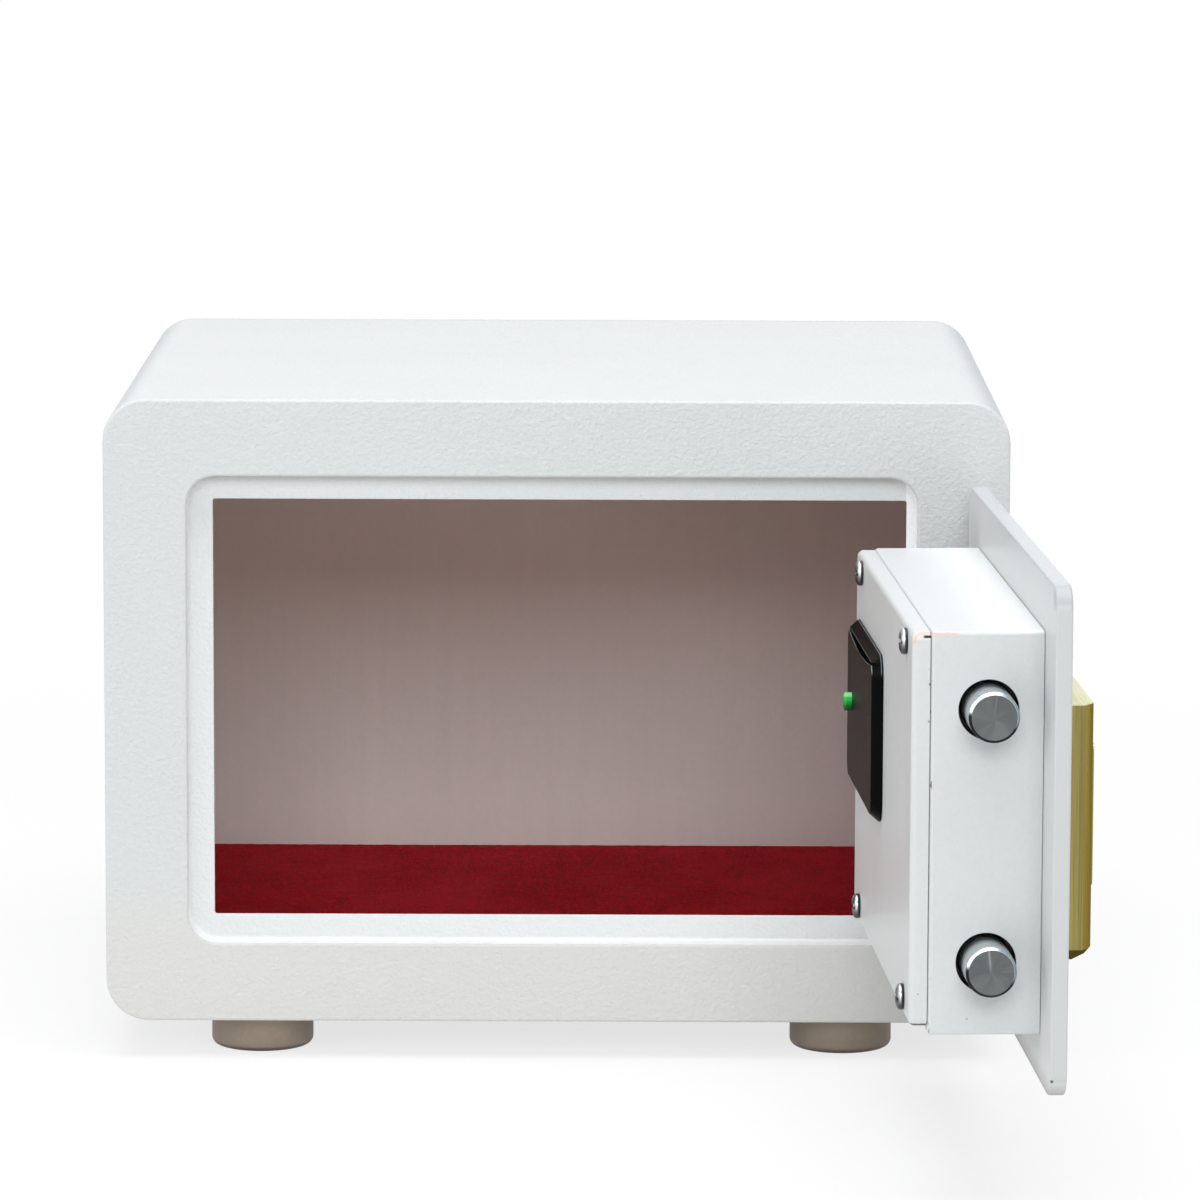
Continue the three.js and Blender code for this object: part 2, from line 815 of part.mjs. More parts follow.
function makeCover() {
  const tray = cut(
    block(cover, coverFront, coverBack, coverFold, 2),
    block(grow(cover, -coverSheet), coverFront - past, coverInside),
  );
  const bayMouth = block(grow(bay, -bayWall), coverInside - past, coverBack + past);
  const hole = (x, z, radius, segments) =>
    rod("y", x, coverBack, z, radius, -coverSheet - past, past, segments);
  const screwHoles = screwCentres().map(([x, z]) => hole(x, z, screwRadius + seam, 8));
  const buttonHole = hole(buttonX, buttonZ, buttonRadius + running, 12);
  return cut(tray, bayMouth, ...screwHoles, buttonHole);
}

function makeScrew(x, z) {
  const seat = coverBack + seam;
  const screw = turned("y", x, seat, z, [
    [0, -screwLength],
    [screwRadius, -screwLength + screwTip],
    [screwRadius, 0],
    [screwHeadRadius, 0],
    [screwHeadRadius, screwHeadWall],
    [screwDomeRadius, screwDomeHeight],
    [0, screwHeadHeight],
  ], 12);
  const top = seat + screwHeadHeight;
  const slots = [
    spread(x, z, screwSlotLength, screwSlotWidth),
    spread(x, z, screwSlotWidth, screwSlotLength),
  ].map((area) => block(area, top - screwSlotDepth, top + past));
  return cut(screw, ...slots);
}

// Bolt work: x runs towards the hinge, so the bolts shoot towards -X

function makeBolt(z) {
  const tail = barX + barThickness + seam;
  return turned("x", 0, boltY, z, [
    [0, boltTip],
    [boltRadius - boltChamfer, boltTip],
    [boltRadius, boltTip + boltChamfer],
    [boltRadius, boltHeel],
    [boltTailRadius, boltHeel],
    [boltTailRadius, tail],
    [0, tail],
  ], 28);
}

function makeBar() {
  const upright = {
    x0: barX,
    x1: barX + barThickness,
    z0: boltLevels[1] - barOverhang,
    z1: boltLevels[0] + barOverhang,
  };
  const strip = block(upright, rackFront, rackFront + barDepth);
  const tails = boltLevels.map((z) =>
    rod("x", barX, boltY, z, boltTailRadius + seam, -past, barThickness + past, 12),
  );
  const reach = driveX + ((rackTeeth + 1) / 2) * Math.PI * rackModule;
  const rack = slab(rackOutline(barX + past, reach, driveX), "y", rackFront, rackRear);
  return join(cut(strip, ...tails), rack);
}

function makeGuide() {
  const x0 = box.x0 + guideFromBoxEnd;
  const front = plateBack + seam;
  const upright = {
    x0,
    x1: x0 + guideSheet,
    z0: boltLevels[1] - barOverhang - guideOverhang,
    z1: boltLevels[0] + barOverhang + guideOverhang,
  };
  const base = { ...upright, x1: x0 + guideSheet + guideFoot };
  const holes = boltLevels.map((z) =>
    rod("x", x0, boltY, z, bushOuter + seam, -past, guideSheet + past, 20),
  );
  return join(
    cut(block(upright, front, front + guideHeight), ...holes),
    block(base, front, front + guideSheet),
  );
}

function makeBush(z) {
  const x0 = box.x0 + guideFromBoxEnd;
  const from = x0 - seam - bushFlange;
  const inner = boltRadius + running;
  return turned("x", 0, boltY, z, [
    [inner, from],
    [bushOuter + bushRim, from],
    [bushOuter + bushRim, x0 - seam],
    [bushOuter, x0 - seam],
    [bushOuter, from + bushLength],
    [inner, from + bushLength],
    [inner, from],
  ], 20);
}

function makeDriveGear() {
  const gap = -Math.PI / 2 + Math.PI / driveTeeth;
  const small = gearOutline(driveX, driveZ, driveTeeth, rackModule, gap);
  const large = gearOutline(driveX, driveZ, wheelTeeth, gearModule, Math.PI / 2);
  const pinion = slab(small, "y", rackFront, wheelFront);
  const wheel = slab(large, "y", wheelFront, wheelRear);
  const bore = rod(
    "y", driveX, 0, driveZ, axleRadius + running, rackFront - past, wheelRear + past, 12,
  );
  return cut(join(pinion, wheel), bore);
}

function makeMotorPinion() {
  const gap = -Math.PI / 2 + Math.PI / motorTeeth;
  const outline = gearOutline(driveX, motorZ, motorTeeth, gearModule, gap);
  const bore = rod(
    "y", driveX, wheelFront, motorZ, motorShaftRadius + seam, -past, gearWidth + past, 8,
  );
  return cut(slab(outline, "y", wheelFront, wheelRear), bore);
}

function makeAxle() {
  const front = plateBack + seam;
  const collar = rackFront - running;
  return turned("y", driveX, 0, driveZ, [
    [0, front],
    [axleRadius + axleCollar, front],
    [axleRadius + axleCollar, collar],
    [axleRadius, collar],
    [axleRadius, gearPlateFront + gearPlateThickness],
    [0, gearPlateFront + gearPlateThickness],
  ], 12);
}

function makeGearPlate() {
  const rackBottom = rackLine - dedendum * rackModule - rackBack;
  const area = {
    x0: driveX - gearPlateWidth / 2,
    x1: driveX + gearPlateWidth / 2,
    z0: rackBottom - gearPlateMargin - 2 * gearPostRadius,
    z1: motorZ + motorRadius + gearPlateTop,
  };
  const rear = gearPlateFront + gearPlateThickness;
  const inset = gearPostRadius;
  const posts = [area.x0 + inset, area.x1 - inset].flatMap((x) =>
    [area.z0 + inset, area.z1 - inset].map((z) =>
      rod("y", x, 0, z, gearPostRadius, plateBack + seam, rear, 8),
    ),
  );
  const hole = (z, radius) =>
    rod("y", driveX, rear, z, radius, -gearPlateThickness - past, past, 12);
  return cut(
    join(block(area, gearPlateFront, rear, gearPlateCorner, 1), ...posts),
    hole(driveZ, axleRadius + seam),
    hole(motorZ, motorShaftHole),
  );
}

function makeMotor() {
  const seat = gearPlateFront + gearPlateThickness + seam;
  const can = rod("y", driveX, seat, motorZ, motorRadius, 0, motorLength, 20);
  const trim = spread(driveX, motorZ, 2 * motorFlat, 2 * (motorRadius + past));
  const shaft = rod("y", driveX, 0, motorZ, motorShaftRadius, wheelFront, seat + past, 8);
  const boss = rod(
    "y", driveX, seat, motorZ, motorBossRadius, 0, motorLength + motorBossHeight, 8,
  );
  return join(can.intersect(block(trim, seat, seat + motorLength)), shaft, boss);
}

function makeBoard() {
  const area = {
    x0: box.x1 - boardFromHingeEnd - boardLength,
    x1: box.x1 - boardFromHingeEnd,
    z0: box.z0 + boardFromBoxBottom,
    z1: box.z0 + boardFromBoxBottom + boardHeight,
  };
  const front = plateBack + seam;
  const rear = front + boardStandOff + circuitBoard;
  const places = (r, by) =>
    [r.x0 + by, r.x1 - by].flatMap((x) => [r.z0 + by, r.z1 - by].map((z) => [x, z]));
  const posts = places(area, boardPostInset).map(([x, z]) =>
    rod("y", x, 0, z, boardPostRadius, front, rear + boardNutHeight, 8),
  );
  const blocks = chips.map(([along, up, wide, high, tall]) =>
    block(spread(area.x0 + along, area.z0 + up, wide, high), rear - solderDepth, rear + tall),
  );
  const capacitors = capacitorsAlong.map((along) =>
    rod(
      "y", area.x0 + along, rear, area.z0 + capacitorsUp, capacitorRadius, -solderDepth,
      capacitorHeight, 12,
    ),
  );
  return join(block(area, front + boardStandOff, rear), ...posts, ...blocks, ...capacitors);
}

// Battery bay behind the cover, four cells side by side and standing up

function makeBay() {
  return cut(
    join(block(bay, bayFloor, bayRim), block(grow(bay, bayFlange), bayRim - bayWall, bayRim)),
    block(grow(bay, -bayWall), bayFloor + bayWall, bayRim + past),
  );
}

function makeCell(index) {
  const x = (bay.x0 + bay.x1) / 2 + (index - 1.5) * cellPitch;
  const y = bayFloor + bayWall + running + cellRadius;
  const middle = (bay.z0 + bay.z1) / 2;
  const turn = index % 2 ? 1 : -1;
  const foot = -turn * (cellLength / 2);
  const shoulder = turn * (cellLength / 2 - cellCapHeight);
  const tip = turn * (cellLength / 2);
  return turned("z", x, y, middle, [
    [0, foot],
    [cellRadius, foot],
    [cellRadius, shoulder],
    [cellCapRadius, shoulder],
    [cellCapRadius, tip],
    [0, tip],
  ], 16);
}

function makeLid() {
  const g = new THREE.ExtrudeGeometry(rect(grow(lid, -lidBevel), lidCorner), {
    depth: lidRim,
    bevelThickness: lidThickness - lidRim,
    bevelSize: lidBevel,
    bevelSegments: 2,
    curveSegments: 3,
  });
  g.rotateX(-Math.PI / 2);
  g.scale(1, 1, -1);
  g.translate(0, lidFront + lidRim, 0);
  const whole = block(grow(lid, past), lidFront, lidBack);
  const outside = toSolid(flipped(mergeVertices(stripped(g)))).intersect(whole);
  const hollow = { ...grow(lid, -lidBevel - lidWall), z1: lid.z1 - lidBevel - slotDepth - lidWall };
  const clipLevels = [bay.z0 + bayWall + running, bay.z1 - bayWall - running - clipThickness];
  const clips = clipLevels.map((z) => {
    const area = spread((bay.x0 + bay.x1) / 2, z + clipThickness / 2, clipLength, clipThickness);
    return block(area, lidFront - clipReach, lidFront + lidWall / 2);
  });
  return join(
    cut(
      outside,
      block(hollow, lidFront - past, lidBack - lidWall),
      makeFingerSlot(),
      rod("y", buttonX, lidBack, buttonZ, buttonRadius + running, -lidThickness - past, past, 12),
    ),
    ...clips,
  );
}

// Below the upper bevel, from end to end: the outer wall sinks in an arc, lowest in the middle
function makeFingerSlot() {
  const top = lid.z1 - lidBevel;
  const middle = (lid.x0 + lid.x1) / 2;
  const half = lidLength / 2 + past;
  const arc = Array.from({ length: slotSteps + 1 }, (_, i) => {
    const u = (2 * i) / slotSteps - 1;
    return [middle + u * half, top - slotDepth + (slotDepth - slotEnd) * u * u];
  });
  const shape = polygon([...arc, [middle + half, top], [middle - half, top]]);
  return slab(shape, "y", lidFront + lidWall, lidBack + past);
}

function stripped(geometry) {
  const g = geometry.clone();
  for (const name of ["normal", "uv"]) g.deleteAttribute(name);
  return g;
}

function makeSwitch() {
  const front = coverInside - seam - switchDepth;
  const housing = block(spread(buttonX, buttonZ, switchSize, switchSize), front, coverInside - seam);
  const floor = buttonHeel - buttonTravel - running;
  const well = rod("y", buttonX, 0, buttonZ, buttonRadius + running, floor, lidBack, 12);
  return cut(housing, well);
}

function makeButton() {
  const top = lidBack + buttonStandOut;
  return turned("y", buttonX, 0, buttonZ, [
    [0, buttonHeel],
    [buttonRadius, buttonHeel],
    [buttonRadius, top - buttonBevel],
    [buttonRadius - buttonBevel, top],
    [0, top],
  ], 12);
}

// Keypad

function makePad() {
  const c = padCornerCut;
  const outline = polygon([
    [pad.x0 + c, pad.z0],
    [pad.x1 - c, pad.z0],
    [pad.x1, pad.z0 + c],
    [pad.x1, pad.z1],
    [pad.x0, pad.z1],
    [pad.x0, pad.z0 + c],
  ]);
  const rim = plateFront - padRim;
  const slope = (padThickness - padRim) / padBevel;
  const sideWedge = (x, out) =>
    slab(
      polygon([
        [x + out * past, rim + slope * past],
        [x + out * past, padFace - past],
        [x - out * padBevel, padFace - past],
        [x - out * padBevel, padFace],
      ]),
      "z", pad.z0 - past, pad.z1 + past,
    );
  const footRim = plateFront - padFootRim;
  const footWedge = slab(
    polygon([
      [footRim, pad.z0],
      [padFace, pad.z0 + padFootBevel],
      [padFace - past, pad.z0 + padFootBevel],
      [padFace - past, pad.z0 - past],
      [footRim, pad.z0 - past],
    ]),
    "x", pad.x0 - past, pad.x1 + past,
  );
  const body = cut(
    slab(outline, "y", padFace, padRear),
    sideWedge(pad.x0, -1),
    sideWedge(pad.x1, 1),
    footWedge,
  );
  const hollow = grow(pad, -padBevel - padHollowSide);
  const lensHole = spread(lensX, lensZ, lensLength + 2 * seam, lensHeight + 2 * seam);
  const inside = padFace + padWall + past;
  const keyHoles = keyPlaces().map(({ x, z }) => {
    const hole = grow(spread(x, z, keyLength, keyHeight), running);
    return block(hole, fieldFace - past, inside, keyCorner, 1);
  });
  return cut(
    join(body, block(field, fieldFace, padFace + past, fieldCorner, 3)),
    block({ ...hollow, z0: hollow.z0 + padHollowBottom }, padFace + padWall, padRear + past),
    block(grow(field, -padWall), fieldFace + padWall, padRear + past),
    ...keyHoles,
    block(lensHole, padFace - past, inside, lensHeight / 2, 3),
    rod("y", lockX, 0, lockZ, barrelRadius + seam, padFace - past, padRear + past, 16),
  );
}

function keyPlaces() {
  const names = ["1", "2", "3", "4", "5", "6", "7", "8", "9", "star", "0", "hash"];
  const middleX = (field.x0 + field.x1) / 2;
  const middleZ = (field.z0 + field.z1) / 2;
  return names.map((name, i) => ({
    name,
    x: middleX + ((i % 3) - 1) * keyPitchX,
    z: middleZ + (1.5 - Math.floor(i / 3)) * keyPitchZ,
  }));
}

function makeKey({ x, z }) {
  const cap = spread(x, z, keyLength, keyHeight);
  const ceiling = fieldFace + padWall + running;
  const heel = ceiling + keyFlangeHeight;
  return join(
    block(cap, fieldFace - keyProud, heel, keyCorner, 1),
    block(grow(cap, keyFlange), ceiling, heel),
  );
}

function makeKeyBoard() {
  const keysIn = fieldFace + padWall + running + keyFlangeHeight + keyTravel;
  const front = Math.max(padFace + padWall, keysIn) + seam;
  return block(grow(field, keyBoardMargin), front, front + circuitBoard);
}

function makeLens() {
  const rear = padFace + padWall + seam;
  const area = spread(lensX, lensZ, lensLength, lensHeight);
  return join(
    block(area, padFace - lensProud, rear + lensFlange, lensHeight / 2, 3),
    block(grow(area, lensFlange), rear, rear + lensFlange),
  );
}

// Key lock

function makeBarrel() {
  const bore = plugRadius + running;
  return turned("y", lockX, 0, lockZ, [
    [bore, barrelFront],
    [barrelFlangeRadius - barrelBevel, barrelFront],
    [barrelFlangeRadius, barrelFront + barrelBevel],
    [barrelFlangeRadius, padFace - seam],
    [barrelRadius, padFace - seam],
    [barrelRadius, barrelRear],
    [bore, barrelRear],
    [bore, barrelFront],
  ], 16);
}

function makePlug() {
  const seat = barrelRear + running;
  const arm = {
    x0: lockX - camWidth / 2,
    x1: lockX + camWidth / 2,
    z0: lockZ - camLength,
    z1: lockZ + camWidth / 2,
  };
  const keyway = spread(lockX, lockZ, keywayWidth, keywayLength);
  return cut(
    join(
      rod("y", lockX, 0, lockZ, plugRadius, barrelFront, seat + camThickness + camHubHeight, 16),
      block(arm, seat, seat + camThickness),
    ),
    block(keyway, barrelFront - past, barrelFront + keywayDepth),
  );
}

// Assembly

const cabinetGroup = new THREE.Group();
piece(cabinetGroup, "body_shell", makeShell(), whitePaint);
piece(cabinetGroup, "front_frame", makeFrame(), whitePaint);
piece(cabinetGroup, "back_panel", makeBack(), innerPaint);
piece(cabinetGroup, "floor_board", makeFloorBoard(), board);
piece(cabinetGroup, "felt_mat", makeMat(), redFelt);
const footNames = ["foot_front_left", "foot_front_right", "foot_rear_left", "foot_rear_right"];
footCentres().forEach(([x, y], i) => {
  piece(cabinetGroup, footNames[i], makeFoot(x, y), footPlastic);
});

// The door's pieces are drawn closed and the whole group is turned about the hinge pins.
const doorGroup = new THREE.Group();
doorGroup.position.set(hingeX, hingeDepth, 0);
doorGroup.rotation.z = THREE.MathUtils.degToRad(openDegrees);
const door = new THREE.Group();
door.position.set(-hingeX, -hingeDepth, 0);
doorGroup.add(door);

for (const [name, level] of Object.entries(hingeLevels)) {
  piece(cabinetGroup, `hinge_bracket_${name}`, makeBracket(level), steel);
  piece(cabinetGroup, `hinge_pin_${name}`, makePin(level), zinc);
  piece(door, `hinge_arm_${name}`, makeArm(level), steel);
}

piece(door, "door_plate", makePlate(), whitePaint);
piece(door, "door_box", makeBox(), whitePaint);
piece(door, "inner_cover", makeCover(), whitePaint);
const screwNames = ["hinge_top", "hinge_bottom", "free_top", "free_bottom"];
screwCentres().forEach(([x, z], i) => {
  piece(door, `cover_screw_${screwNames[i]}`, makeScrew(x, z), zinc);
});

piece(door, "bolt_guide", makeGuide(), steel);
piece(door, "bolt_bar", makeBar(), steel);
["upper", "lower"].forEach((name, i) => {
  piece(door, `bolt_bush_${name}`, makeBush(boltLevels[i]), whitePlastic);
  piece(door, `bolt_${name}`, makeBolt(boltLevels[i]), steel);
});
piece(door, "drive_gear", makeDriveGear(), whitePlastic);
piece(door, "motor_pinion", makeMotorPinion(), brass);
piece(door, "gear_axle", makeAxle(), steel);
piece(door, "gear_plate", makeGearPlate(), zinc);
piece(door, "lock_motor", makeMotor(), zinc);
piece(door, "control_board", makeBoard(), circuitGreen);

piece(door, "battery_tray", makeBay(), greyPlastic);
for (let i = 0; i < 4; i++) piece(door, `battery_cell_${i + 1}`, makeCell(i), cellJacket);
piece(door, "battery_cover", makeLid(), blackPlastic);
piece(door, "reset_switch", makeSwitch(), greyPlastic);
piece(door, "reset_button", makeButton(), greenPlastic);

piece(door, "keypad_housing", makePad(), brass);
piece(door, "key_board", makeKeyBoard(), circuitGreen);
piece(door, "indicator_lens", makeLens(), lensPlastic);
for (const place of keyPlaces()) piece(door, `key_${place.name}`, makeKey(place), keyPlastic);
piece(door, "override_barrel", makeBarrel(), zinc);
piece(door, "override_plug", makePlug(), brass);

// The origin lies under the middle of the whole part, on the surface that the feet stand on.
const safe = new THREE.Group();
safe.name = "home_safe";
safe.add(cabinetGroup, doorGroup);
safe.updateMatrixWorld(true);
const extent = new THREE.Box3().setFromObject(safe, true);
const middle = extent.getCenter(new THREE.Vector3());
cabinetGroup.position.x -= middle.x;
cabinetGroup.position.y -= middle.y;
doorGroup.position.x -= middle.x;
doorGroup.position.y -= middle.y;

export default safe;
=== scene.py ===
import math
import bmesh
import bpy
import numpy as np
from mathutils import Matrix, Vector


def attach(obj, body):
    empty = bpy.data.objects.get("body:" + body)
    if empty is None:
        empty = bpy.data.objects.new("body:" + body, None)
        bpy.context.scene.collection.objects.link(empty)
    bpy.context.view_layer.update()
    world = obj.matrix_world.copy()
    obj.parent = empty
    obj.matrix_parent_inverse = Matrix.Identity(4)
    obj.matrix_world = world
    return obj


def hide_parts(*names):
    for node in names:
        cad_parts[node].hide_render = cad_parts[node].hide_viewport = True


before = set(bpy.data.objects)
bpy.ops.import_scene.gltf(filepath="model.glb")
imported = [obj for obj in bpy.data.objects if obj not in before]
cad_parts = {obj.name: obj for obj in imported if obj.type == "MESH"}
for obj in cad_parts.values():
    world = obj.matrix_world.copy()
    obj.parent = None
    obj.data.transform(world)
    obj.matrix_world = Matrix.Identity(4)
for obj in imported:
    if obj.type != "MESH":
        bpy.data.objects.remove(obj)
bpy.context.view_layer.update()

# Places are in millimetres, with the front face at y = 0, the body's middle at x = 0 and the door
# closed. The frame is shifted from that, and its door stands open. Shaders work in metres.
shift = np.array([-8.8981, -10.0412, 0.0])
hinge = {"x": 153.0, "y": 13.5, "open": math.radians(93.2)}
turnRight = np.array([
    [math.cos(hinge["open"]), -math.sin(hinge["open"]), 0],
    [math.sin(hinge["open"]), math.cos(hinge["open"]), 0],
    [0, 0, 1],
])


def onCabinet(points):
    return (np.asarray(points, float) + shift) / 1000


def onDoor(points):
    pin = np.array([hinge["x"], hinge["y"], 0])
    return ((np.asarray(points, float) - pin) @ turnRight.T + pin + shift) / 1000


def picked(facts, names):
    return [facts[name] for name in names.split()]


# Shader maths

def between(operation, swapped=False):
    def method(self, other):
        pair = (other, self) if swapped else (self, other)
        return self.shader.maths(operation, *pair)
    return method


class Wire:
    # a shader socket that takes part in sums like a number
    def __init__(self, shader, socket):
        self.shader, self.socket = shader, socket

    __add__ = __radd__ = between("ADD")
    __mul__ = __rmul__ = between("MULTIPLY")
    __sub__, __rsub__ = between("SUBTRACT"), between("SUBTRACT", True)
    __truediv__ = between("DIVIDE")


class Shader:
    def __init__(self, name, world=None):
        self.owner = world or bpy.data.materials.new(name)
        self.owner.use_nodes = True
        self.tree = self.owner.node_tree
        self.tree.nodes.clear()
        kind = "ShaderNodeOutputWorld" if world else "ShaderNodeOutputMaterial"
        self.out = self.tree.nodes.new(kind).inputs["Surface"]

    def add(self, kind, settings=None, links=None, output=0):
        node = self.tree.nodes.new("ShaderNode" + kind)
        for key, value in (settings or {}).items():
            setattr(node, key, value)
        for key, value in (links or {}).items():
            if isinstance(value, Wire):
                self.tree.links.new(value.socket, node.inputs[key])
            else:
                node.inputs[key].default_value = value
        return Wire(self, node.outputs[output])

    def end(self, wire):
        self.tree.links.new(wire.socket, self.out)
        return self.owner

    def maths(self, operation, a, b=0.0, clamp=False):
        return self.add("Math", {"operation": operation, "use_clamp": clamp}, {0: a, 1: b})

    def size(self, value):
        return self.maths("ABSOLUTE", value)

    def most(self, a, b):
        return self.maths("MAXIMUM", a, b)

    def length(self, a, b, least=0.0):
        return self.maths("SQRT", a * a + b * b + least)

    def spot(self):
        return self.add("TexCoord", output="Object")

    def doorSpot(self):
        # undoes the door's swing, so that x runs along the door, y through it and z up
        pin = Vector(((hinge["x"] + shift[0]) / 1000, (hinge["y"] + shift[1]) / 1000, 0))
        home = Vector((hinge["x"] / 1000, hinge["y"] / 1000, 0))
        back = Matrix.Rotation(-hinge["open"], 3, "Z")
        return self.add("Mapping", None, {
            "Vector": self.spot(), "Rotation": (0, 0, -hinge["open"]),
            "Location": home - back @ pin,
        })

    def parts(self, vector):
        node = self.add("SeparateXYZ", None, {0: vector}).socket.node
        return [Wire(self, node.outputs[k]) for k in range(3)]

    def scaled(self, vector, x, y, z):
        settings = {"operation": "MULTIPLY"}
        return self.add("VectorMath", settings, {0: vector, 1: (x, y, z)})

    def noise(self, vector, scale, detail=2.0, roughness=0.5, distortion=0.0):
        return self.add("TexNoise", None, {
            "Vector": vector, "Scale": scale, "Detail": detail, "Roughness": roughness,
            "Distortion": distortion,
        })

    def ramp(self, value, low, high, start=0.0, stop=1.0):
        return self.add("MapRange", {"interpolation_type": "SMOOTHSTEP"}, {
            "Value": value, "From Min": low, "From Max": high, "To Min": start, "To Max": stop,
        })

    def both(self, a, b, levels):
        return self.ramp(a, *levels[0]) * self.ramp(b, *levels[1])

    def near(self, value, middle, wide, narrow):
        return self.ramp(self.size(value - middle), wide, narrow)

    def mix(self, factor, a, b, blend="MIX"):
        settings = {"data_type": "RGBA", "blend_type": blend}
        colours = [c if isinstance(c, Wire) else (*c, 1) for c in (a, b)]
        return self.add("Mix", settings, {0: factor, 6: colours[0], 7: colours[1]}, 2)

    def layered(self, colour, *layers):
        for factor, tint in layers:
            colour = self.mix(factor, colour, tint)
        return colour

    def surface(self, colour, roughness, relief, **more):
        # relief is a height, its depth in metres and its strength
        names = {
            "metallic": "Metallic", "coat": "Coat Weight", "coatRoughness": "Coat Roughness",
            "level": "Specular IOR Level", "edgeTint": "Specular Tint",
        }
        bump = self.add("Bump", None, dict(zip(("Height", "Distance", "Strength"), relief)))
        return self.end(self.add("BsdfPrincipled", None, {
            "Base Color": colour, "Roughness": roughness, "Normal": bump,
            **{names[key]: value for key, value in more.items()},
        }))

    def looked(self):
        # one for rays that show what they meet, nought for those that only gather light
        path = self.add("LightPath").socket.node
        kinds = ("Is Camera Ray", "Is Glossy Ray", "Is Transmission Ray")
        direct, mirrored, through = [Wire(self, path.outputs[kind]) for kind in kinds]
        return self.maths("ADD", self.most(direct, mirrored), through, clamp=True)


def onPiece(name, door=False):
    # a new shader, with the place on the cabinet or on the closed door
    s = Shader(name)
    spot = s.doorSpot() if door else s.spot()
    return s, spot, s.parts(spot)


# Shapes: points on grids, joined into closed skins

def outline(area, corners, arc=10, edges=8):
    # a closed ring round a rectangle with rounded corners, from its lower left corner
    x0, x1, z0, z1 = area
    ends = ((x0, 1, z0, 1), (x1, -1, z0, 1), (x1, -1, z1, -1), (x0, 1, z1, -1))
    arcs = []
    for k, (radius, (x, inX, z, inZ)) in enumerate(zip(corners, ends)):
        turn = np.radians(np.linspace(180 + 90 * k, 270 + 90 * k, arc + 1))
        x, z = x + inX * radius, z + inZ * radius
        arcs.append(np.column_stack([x + radius * np.cos(turn), z + radius * np.sin(turn)]))
    share = np.linspace(0, 1, edges + 1)[1:-1, None]
    rows = []
    for k, bend in enumerate(arcs):
        rows += [bend, bend[-1] * (1 - share) + arcs[(k + 1) % 4][0] * share]
    return np.vstack(rows)


def atDepth(flat, y):
    return np.column_stack([flat[:, 0], np.full(len(flat), y), flat[:, 1]])


def ring(area, corner, growth, y, **fine):
    # the rectangle's ring once it has grown all round, at one depth
    x0, x1, z0, z1 = area
    corners = [corner] * 4 if np.isscalar(corner) else corner
    grown = (x0 - growth, x1 + growth, z0 - growth, z1 + growth)
    return atDepth(outline(grown, [max(c + growth, 0.2) for c in corners], **fine), y)


def sweep(area, corner, places, **fine):
    return [ring(area, corner, growth, y, **fine) for growth, y in places]


def fold(growth, y, radius, start, stop, steps):
    # places along a fold whose middle lies at that growth and depth
    turns = np.radians(np.linspace(start, stop, steps + 1))
    return [(growth + radius * math.cos(t), y + radius * math.sin(t)) for t in turns]


def circle(x, y, z, radius, like):
    # a round ring in step with another ring, each point on the line from the middle
    turn = np.arctan2(like[:, 2] - z, like[:, 0] - x)
    return atDepth(np.column_stack([x + radius * np.cos(turn), z + radius * np.sin(turn)]), y)


def turned(axis, middle, profile, segments):
    # rings about a line along one axis, from a profile of (radius, place)
    turn = np.linspace(0, 2 * math.pi, segments, endpoint=False)
    radius, place = np.array(profile, float).T
    along = np.repeat(place[:, None], segments, 1)
    across = radius[:, None] * np.cos(turn)
    other = radius[:, None] * np.sin(turn)
    order = {"x": (along, across, other), "y": (across, along, other), "z": (across, other, along)}
    return np.stack(order[axis], -1) + np.array(middle, float)


def skin(rings, closed=False):
    # quads between rings that follow one another, with both ends closed by one face each
    rows = np.asarray(rings, float)
    count, size = rows.shape[:2]
    index = np.arange(count * size).reshape(count, size)
    here = index if closed else index[:-1]
    there = np.roll(index, -1, 0) if closed else index[1:]
    quads = np.stack([here, there, np.roll(there, -1, 1), np.roll(here, -1, 1)], -1)
    faces = quads.reshape(-1, 4).tolist()
    if not closed:
        faces += [index[0].tolist(), index[-1][::-1].tolist()]
    return rows.reshape(-1, 3), faces


def sheetSkin(top, low):
    # two grids of the same size, joined along their rims
    rows, columns = top.shape[:2]
    index = np.arange(rows * columns).reshape(rows, columns)
    def quads(grid):
        return np.stack([grid[:-1, :-1], grid[1:, :-1], grid[1:, 1:], grid[:-1, 1:]], -1)
    under = index + rows * columns
    rim = np.concatenate([index[0, :-1], index[:-1, -1], index[-1, :0:-1], index[:0:-1, 0]])
    ahead = np.roll(rim, -1)
    side = np.stack([rim, ahead, ahead + rows * columns, rim + rows * columns], -1)
    faces = quads(index).reshape(-1, 4).tolist() + quads(under)[..., ::-1].reshape(-1, 4).tolist()
    return np.vstack([top.reshape(-1, 3), low.reshape(-1, 3)]), faces + side.tolist()


sharpEdge = 38  # degrees


def tidied(mesh, sharp=sharpEdge):
    # faces outwards, smooth but for sharp edges
    work = bmesh.new()
    work.from_mesh(mesh)
    bmesh.ops.remove_doubles(work, verts=work.verts, dist=1e-6)
    bmesh.ops.recalc_face_normals(work, faces=work.faces)
    if work.calc_volume(signed=True) < 0:
        bmesh.ops.reverse_faces(work, faces=work.faces)
    work.to_mesh(mesh)
    work.free()
    mesh.polygons.foreach_set("use_smooth", [True] * len(mesh.polygons))
    mesh.set_sharp_from_angle(angle=math.radians(sharp))


def linked(name, data):
    item = bpy.data.objects.new(name, data)
    bpy.context.scene.collection.objects.link(item)
    return item


def eased(piece, width, sharp=sharpEdge):
    bevel = piece.modifiers.new("ease", "BEVEL")
    bevel.width, bevel.segments = width / 1000, 2
    bevel.limit_method, bevel.angle_limit = "ANGLE", math.radians(sharp)


